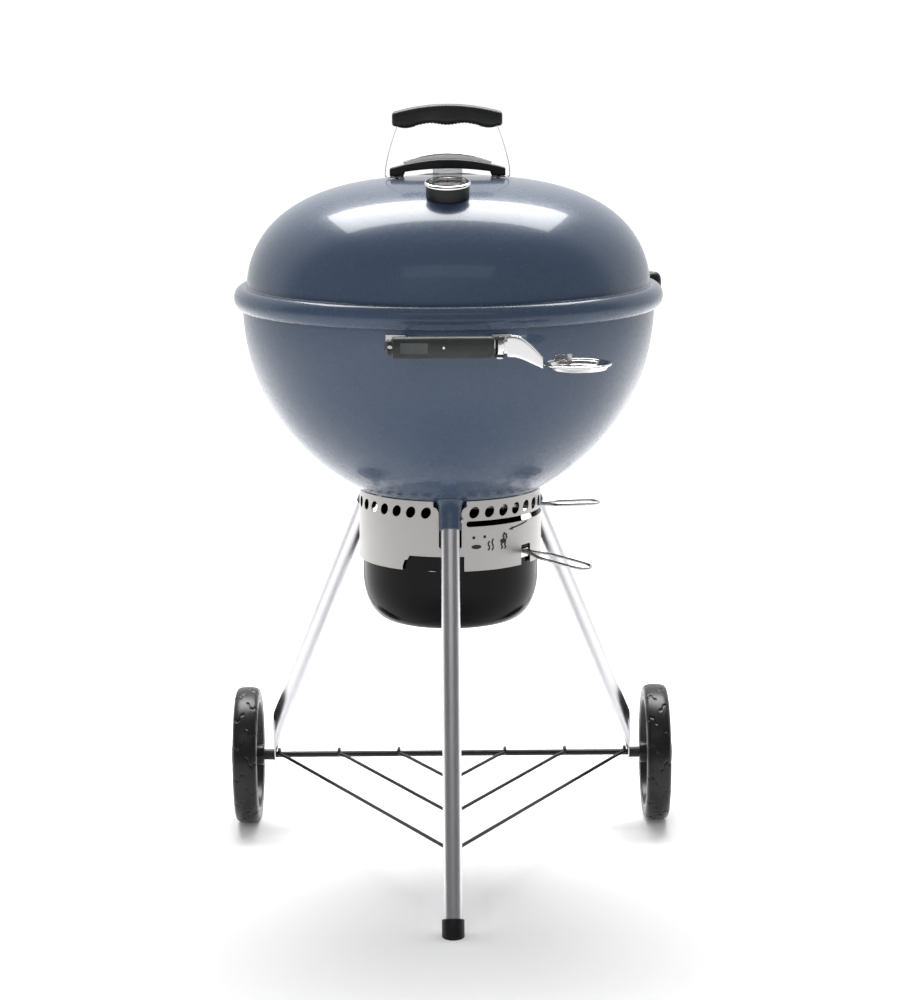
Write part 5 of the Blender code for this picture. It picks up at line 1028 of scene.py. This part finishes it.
def loop_wire(angle, root, neck, half, reach, low, high):
    """A hairpin of wire: out from one root along one side, round its end and back along the other."""
    neck_end = 0.1400
    run = reach - neck_end
    swell = ((0.18, 0.85), (0.35, 1.0), (0.80, 1.0), (0.95, 0.72))
    shape = [(root, neck), (neck_end, neck)]
    shape += [(neck_end + share * run, wide * half) for share, wide in swell]
    shape = np.array(shape + [(reach, 0.0)] + [(u, -w) for u, w in reversed(shape)])
    u, w = curve(shape, 8).T
    outwards, sideways = directions(angle)
    z = low + (high - low) * (u - root) / (reach - root)
    base = np.stack([0 * z, KETTLE_Y + 0 * z, z], -1)
    path = outwards * u[:, None] + sideways * w[:, None] + base
    return carried(path, oval(LOOP_WIRE, LOOP_WIRE, 16))


def angled_plate(outline, low, high, angle, across="z", edge=0.0004):
    """A plate made at the front, then turned to an angle about the kettle's axis."""
    surface = plate(outline, low, high, across, edge)
    return moved(surface, AXIS, Matrix.Rotation(radians(angle), 3, "Z"))


def box_outline(left, right, low, high, corner=0.001):
    return rounded([(left, low), (right, low), (right, high), (left, high)], corner, 6, closed=True)


def make_loops():
    """The vent lever and the pot's handle: wire hairpins on small pressed plates."""
    high = RING_BOTTOM + 0.0180
    back = POT_RADIUS + 0.0003
    root = back + 0.0010
    wire = loop_wire(POT_HANDLE_ANGLE, root, 0.0050, 0.0150, 0.2330, high, high - 0.0130)
    pad = box_outline(-0.0090, 0.0090, high - 0.0090, high + 0.0034)
    pad = angled_plate(pad, -back - 0.0020, -back, POT_HANDLE_ANGLE, "y")
    piece("pot_handle_loop", joined(wire, pad), BRIGHT_WIRE, "pot", ("ash_pot_handle",))
    top = LEVER_HEIGHT - 0.0010
    wire = loop_wire(LEVER_ANGLE, 0.1000, 0.0060, 0.0150, 0.2150, LEVER_HEIGHT, LEVER_HEIGHT)
    bar = box_outline(-0.0100, 0.0100, -0.1130, -0.0120, 0.003)
    bar = angled_plate(bar, top - 0.0025, top, LEVER_ANGLE)
    hub = on_axis(band(0.0053, 0.0135, top - 0.0029, top + 0.0002, 64))
    piece("vent_lever_loop", joined(wire, bar, hub), BRIGHT_WIRE, "vents", ("vent_lever",))


# ------------------------------------------------------------------ grates
def rods(lines, radius):
    """Straight round rods between pairs of points."""
    return [carried(np.array(line) + AXIS, oval(radius, radius, 12), (0, 0, 1)) for line in lines]


def hoop(angles, radius, height, wire):
    """A wire bent along an arc, its ends joined by a straight stretch."""
    return carried(around(angles, radius, height), oval(wire, wire, 14), closed=True)


def wire_frame(angles, reach, z, wire, lines, cross):
    """A grate's hoop with its rods, and the stouter cross rods under them."""
    return joined(hoop(angles, reach, z, wire), *rods(lines, wire * 0.85), *rods(cross, wire * 0.95))


def make_grates():
    """Cooking grate with two hinged flaps, and the charcoal grate: wire hoops filled with rods."""
    wire, reach, pitch, line, z = 0.0027, 0.2730 - 0.0027, 0.0260, 0.1350, 0.7500
    edge = float(np.degrees(np.arcsin(line / reach)))
    frame_angles = [np.linspace(middle - edge, middle + edge, 60) for middle in (0, 180)]
    frame_angles = np.concatenate(frame_angles)
    bars = [(i * pitch, sqrt(reach**2 - (i * pitch) ** 2)) for i in range(-4, 5)]
    lines = [((x, -end, z), (x, end, z)) for x, end in bars]
    below = z - 1.5 * wire
    cross = [((-line, y, below), (line, y, below)) for y in (-0.1150, 0.1150)]
    grate = wire_frame(frame_angles, reach, z, wire, lines, cross)
    piece("grate_centre", grate, STEEL, "grate", ("cooking_grate",), crease=50)
    for side, name in ((-1, "left"), (1, "right")):
        near = line + 2 * wire + 0.0003
        sweep = float(np.degrees(np.arcsin(near / reach)))
        flap_angles = side * np.linspace(sweep, 180 - sweep, 90)
        across = np.arange(near + pitch, reach - pitch, pitch)
        bars = [(side * x, sqrt(reach**2 - x**2)) for x in across]
        lines = [((x, -end, z), (x, end, z)) for x, end in bars]
        below = z - 1.4 * wire
        cross = [((side * near, 0.004, below), (side * reach, 0.004, below))]
        flap = wire_frame(flap_angles, reach, z, wire, lines, cross)
        stands_for = (f"grate_flap_{name}",)
        piece(f"grate_side_{name}", flap, STEEL, f"{name}_flap", stands_for, crease=50)
    wire, pitch = 0.0032, 0.0370
    reach = 0.2220 - wire
    step, side_x = 0.001, 0.0930
    rise = float(bowl_height(reach + step, SHEET) - bowl_height(reach - step, SHEET))
    z = float(bowl_height(reach, SHEET)) + (wire + 0.0009) * hypot(1, rise / 0.002)
    bars = [(i * pitch, sqrt(reach**2 - (i * pitch) ** 2)) for i in range(-5, 6)]
    lines = [((-end, y, z), (end, y, z)) for y, end in bars]
    end, below = sqrt(reach**2 - side_x**2) - 0.0100, z - 1.5 * wire
    cross = [((x, -end, below), (x, end, below)) for x in (-side_x, side_x)]
    circle = np.linspace(0, 360, 120, endpoint=False)
    coals = wire_frame(circle, reach, z, wire, lines, cross)
    piece("charcoal_rods", coals, STEEL, "coals", ("charcoal_grate",), crease=50)


# ------------------------------------------------------------------ bowl handles and the dish
def grip_rings(left, right, depth, tall_end=0.78):
    """Rings of a side grip: a rounded box that swells to its middle, with a nose on the left."""
    share = np.linspace(-1, 1, 220)
    x = np.where(share < 0, left, right) * share
    nose = ease(-0.875, -0.895, share) * 0.28
    tip = ease(-0.95, -1.0, share) * 0.26
    tail = ease(0.93, 1.0, share) * (1 - tall_end)
    tall = 1.0 - nose - tip - tail - 0.02 * share**2
    deep = 1.0 - nose * 0.7 - tip - tail * 0.8
    section = oval(1.0, 1.0, 56, 2.7)
    half_deep = depth / 2 * deep
    back = HANDLE_OUT + 0.00125 + 0.0003
    y = -back - half_deep[:, None] * (1 + section[None, :, 0])
    z = HANDLE_HEIGHT + 0.01425 * tall[:, None] * section[None, :, 1]
    return rings_along(x, y, z)


def make_handles():
    """Both bowl handles: a moulded grip each; the front one has an eye, a label field and a stud."""
    pin, deep = JOINTS["dish_swing"]["pos_m"], 0.0220
    front = on_axis(lofted(grip_rings(0.0820, 0.0580, deep, 0.94)))
    eye = aimed(rod(0.0035, -0.03, 0.03, 32), (-0.0755, pin[1], HANDLE_HEIGHT), (0, 1, 0))
    pocket = aimed(rod(0.0073, -0.0102, 0.0102, 48), pin, (0, 0, 1))
    piece("front_grip", front, OLIVE_PLASTIC, "stand", ("front_handle_grip",), cuts=[eye, pocket])
    thick, half, lugs = 0.0032, 0.0060, []
    for low in (HANDLE_HEIGHT + 0.01283 - thick, HANDLE_HEIGHT - 0.01283):
        outline = box_outline(0.0480, pin[0] + half, pin[1] - half, pin[1] + half, 0.0050)
        lugs.append(plate(outline, low, low + thick))
    bore = aimed(rod(0.0033, -0.03, 0.03, 24), pin, (0, 0, 1))
    piece("front_grip_lugs", joined(*lugs), OLIVE_PLASTIC, "stand", cuts=[bore])
    face, half = KETTLE_Y - (HANDLE_OUT + 0.00155 + deep), 0.0068
    field = box_outline(-0.0620, -0.0270, HANDLE_HEIGHT - half, HANDLE_HEIGHT + half, 0.0012)
    label = plate(field, face - 0.00015, face + 0.0004, "y", 0.0001)
    piece("grip_label_field", label, LABEL_GREY, "stand")
    stud = turned([(0, 0.0), (0.0016, 0.0), (0.0015, 0.0006), (0, 0.0009)], 32)
    stud = aimed(stud, (-0.0065, face + 0.0003, HANDLE_HEIGHT + 0.0005), (0, -1, 0))
    piece("grip_stud", stud, WHITE_PRINT, "stand")
    rear = lofted(grip_rings(0.0760, 0.0760, deep))
    rear = moved(rear, AXIS, Matrix.Rotation(pi, 3, "Z"))
    piece("rear_grip", rear, BLACK_PLASTIC, "stand", ("rear_handle_grip",))


def make_dish():
    """The swinging dish: a bright arm on its knuckle, and a shallow pan with a rolled rim and a tab."""
    pin, half = JOINTS["dish_swing"]["pos_m"], 0.0093
    knuckle = [(0.0033, -half), (0.0060, -half), (0.0060, half), (0.0033, half)]
    knuckle = turned(rounded(knuckle, 0.0006, 4, closed=True), 48, closed=True)
    dish_x, dish_z = pin[0] + 0.0930 + 0.0060, HANDLE_HEIGHT - 0.0215
    end_x = dish_x - DISH_RADIUS - 0.0003
    stations = [  # distance from the pin, lower edge and upper edge
        (0.0040, -0.0088, 0.0088), (0.0088, -0.0088, 0.0088), (0.0102, -0.0128, 0.0135),
        (0.0190, -0.0135, 0.0135), (0.0290, -0.0165, 0.0100), (0.0420, -0.0225, -0.0010),
        (end_x - pin[0], -0.0285, -0.0150),
    ]
    x, low, high = curve(stations, 10).T
    middle, half = (low + high) / 2, (high - low) / 2
    section = oval(1.0, 1.0, 32, 6.0)
    z = HANDLE_HEIGHT + middle[:, None] + half[:, None] * section[None, :, 0]
    y = pin[1] + 0.0010 * section[None, :, 1] + 0 * z
    arm = lofted(np.stack([pin[0] + x[:, None] + 0 * z, y, z], -1))
    x, high = x[25:], high[25:]
    hem_path = np.stack([pin[0] + x, np.full(len(x), pin[1]), HANDLE_HEIGHT + high], -1)
    hem = carried(hem_path, oval(0.0013, 0.0013, 12), (0, 1, 0))
    arm = joined(aimed(knuckle, pin, (0, 0, 1)), arm, hem)
    piece("dish_arm_band", arm, POLISHED, "side_dish", ("dish_arm",))
    centre, deep = (dish_x, pin[1], dish_z), -DISH_DEPTH
    rim = arc((DISH_RADIUS - 0.0016, -0.0010), 0.0016, 0.0016, -60, 200, 16)
    under = np.concatenate([[(0.0030, deep), (0.0370, deep), (0.0405, -0.0028)], rim[:1]])
    floor = [(0.0392, -0.0020), (0.0361, deep + 0.0012), (0.0030, deep + 0.0012)]
    floor = rounded(np.concatenate([rim[-1:], floor]), 0.0015, 5)
    profile = np.concatenate([rounded(under, 0.0015, 5), rim[1:], floor[1:]])
    bowl = moved(turned(profile, 128, closed=True), centre)
    tab = plate(box_outline(-0.0125, 0.0125, -0.0030, 0.0065, 0.0012), 0.0386, 0.0398, "y", 0.0003)
    tab = moved(tab, centre, Matrix.Rotation(radians(25), 3, "Z"))
    dot = [(0, deep - 0.0003), (0.0042, deep - 0.0003), (0.0042, deep + 0.0016), (0, deep + 0.0020)]
    dot = moved(turned(dot, 32), centre)
    piece("dish_pan", joined(bowl, tab), POLISHED, "side_dish", ("dish",))
    piece("dish_plug", dot, BLACK_PLASTIC, "side_dish")


def make_holder_bar():
    """The lid holder's rest: a rounded bar across its frame."""
    joint = JOINTS["lid_holder_fold"]
    share = np.linspace(-1, 1, 90)
    size = np.sqrt(np.maximum(1 - np.maximum((np.abs(share) - 0.88) / 0.125, 0) ** 2, 0.05))
    section = oval(0.0110, 0.0150, 48, 2.6)
    place = 130.0  # degrees from the front
    outwards, sideways = directions(place)
    path = around(place, 0.3350, 0.8060) + sideways * (0.0750 * share)[:, None]
    up = np.array([0, 0, 1.0])
    spread = outwards[None, None] * section[None, :, :1] + up * section[None, :, 1:]
    bar = lofted(path[:, None] + spread * size[:, None, None])
    piece("holder_bar", bar, BLACK_PLASTIC, joint["child"], ("lid_holder_bar",))


# ------------------------------------------------------------------ studio
def make_studio():
    """A pale floor, an evenly lit surround that is brighter behind and above, and soft lights."""
    extent = np.linspace(-14, 14, 3)
    x, y = np.meshgrid(extent, extent)
    floor = bare_object("studio_floor", grid(np.stack([x, y, 0 * x - 0.0002], -1)))
    paint = Finish("studio_floor_paint", Roughness=0.9, Specular_IOR_Level=0.1, Emission_Strength=1.0)
    cloud = paint.noise(paint.place(), 1.5, 2.0)
    paint.feed(Base_Color=paint.blend(cloud, (0.88, 0.88, 0.885), (0.90, 0.90, 0.90)))
    x, y, _ = paint.split(paint.place())
    glow_start, glow_full = 0.55, 2.2  # distances from the kettle's axis
    away = (x * x + (y - KETTLE_Y) * (y - KETTLE_Y)) ** 0.5
    away = paint.between(away, glow_start, glow_full)
    paint.feed(Emission_Color=paint.blend(away, (0.08, 0.08, 0.08), (0.66, 0.66, 0.66)))
    floor.data.materials.append(paint.material)
    world = bpy.data.worlds.new("studio_surround")
    world.use_nodes = True
    tree = world.node_tree
    tree.nodes.clear()
    sky = Nodes(tree)
    x, y, z = sky.split(sky.node("ShaderNodeTexCoord", {}, {}, "Generated"))
    behind = sky.between(y + z * 0.05, 0.05, 0.40, 0.14, 1.0)
    white = (1.0, 1.0, 1.0, 1.0)
    lights = sky.node("ShaderNodeBackground", {}, {"Color": white, "Strength": behind})
    plain = sky.node("ShaderNodeBackground", {}, {"Color": white, "Strength": 1.05})
    seen = sky.node("ShaderNodeLightPath", {}, {}, "Is Camera Ray")
    mixed = sky.node("ShaderNodeMixShader", {}, {0: seen, 1: lights, 2: plain})
    output = tree.nodes.new("ShaderNodeOutputWorld")
    tree.links.new(mixed.socket, output.inputs["Surface"])
    bpy.context.scene.world = world
    softboxes = (  # name, place, target, width and length, watts, whether mirrors show it
        ("overhead", (0.0, 1.22, 2.85), (0.0, 1.22, 0.0), (2.7, 1.55), 165.0, True),
        ("front_fill", (-0.8, -3.4, 2.2), (0.0, 0.0, 0.7), (2.4, 2.0), 36.0, False),
        ("front_bank", (0.0, -3.2, 3.3), (0.0, 0.0, 0.5), (3.4, 1.0), 9.0, True),
    )
    for name, place, target, size, power, mirrored in softboxes:
        light = bpy.data.lights.new(name, "AREA")
        light.shape = "RECTANGLE"
        light.size, light.size_y = size
        light.energy = power
        lamp = bpy.data.objects.new(name, light)
        lamp.location = place
        aim = Vector(target) - Vector(place)
        lamp.rotation_euler = aim.to_track_quat("-Z", "Y").to_euler()
        lamp.visible_glossy = mirrored
        bpy.context.scene.collection.objects.link(lamp)


def make_camera():
    """A long lens at chest height, a little above the lid, looking slightly down."""
    camera = bpy.data.cameras.new("camera")
    camera.sensor_fit = "AUTO"
    camera.sensor_width = 36.0
    camera.lens = 99.8
    holder = bpy.data.objects.new("camera", camera)
    pitch, roll = 0.1852, -0.0075
    turn = Euler((pi / 2 - pitch, 0, 0)).to_matrix() @ Matrix.Rotation(roll, 3, "Z")
    holder.matrix_world = Matrix.Translation((0.0, KETTLE_Y - 3.855, 1.239)) @ turn.to_4x4()
    bpy.context.scene.collection.objects.link(holder)
    bpy.context.scene.camera = holder
    bpy.context.scene.view_settings.view_transform = "Standard"


make_camera()
make_studio()
make_bowl()
make_sockets()
make_lid()
make_lid_grip()
make_straps()
make_arch()
make_shield()
make_thermometer()
make_front_leg()
for leg_name in ("left", "right"):
    make_rear_leg(leg_name, LEG_ANGLES[leg_name])
make_wheels()
make_rack()
make_ring()
make_ring_marks()
make_pot()
make_loops()
make_grates()
make_handles()
make_dish()
make_holder_bar()
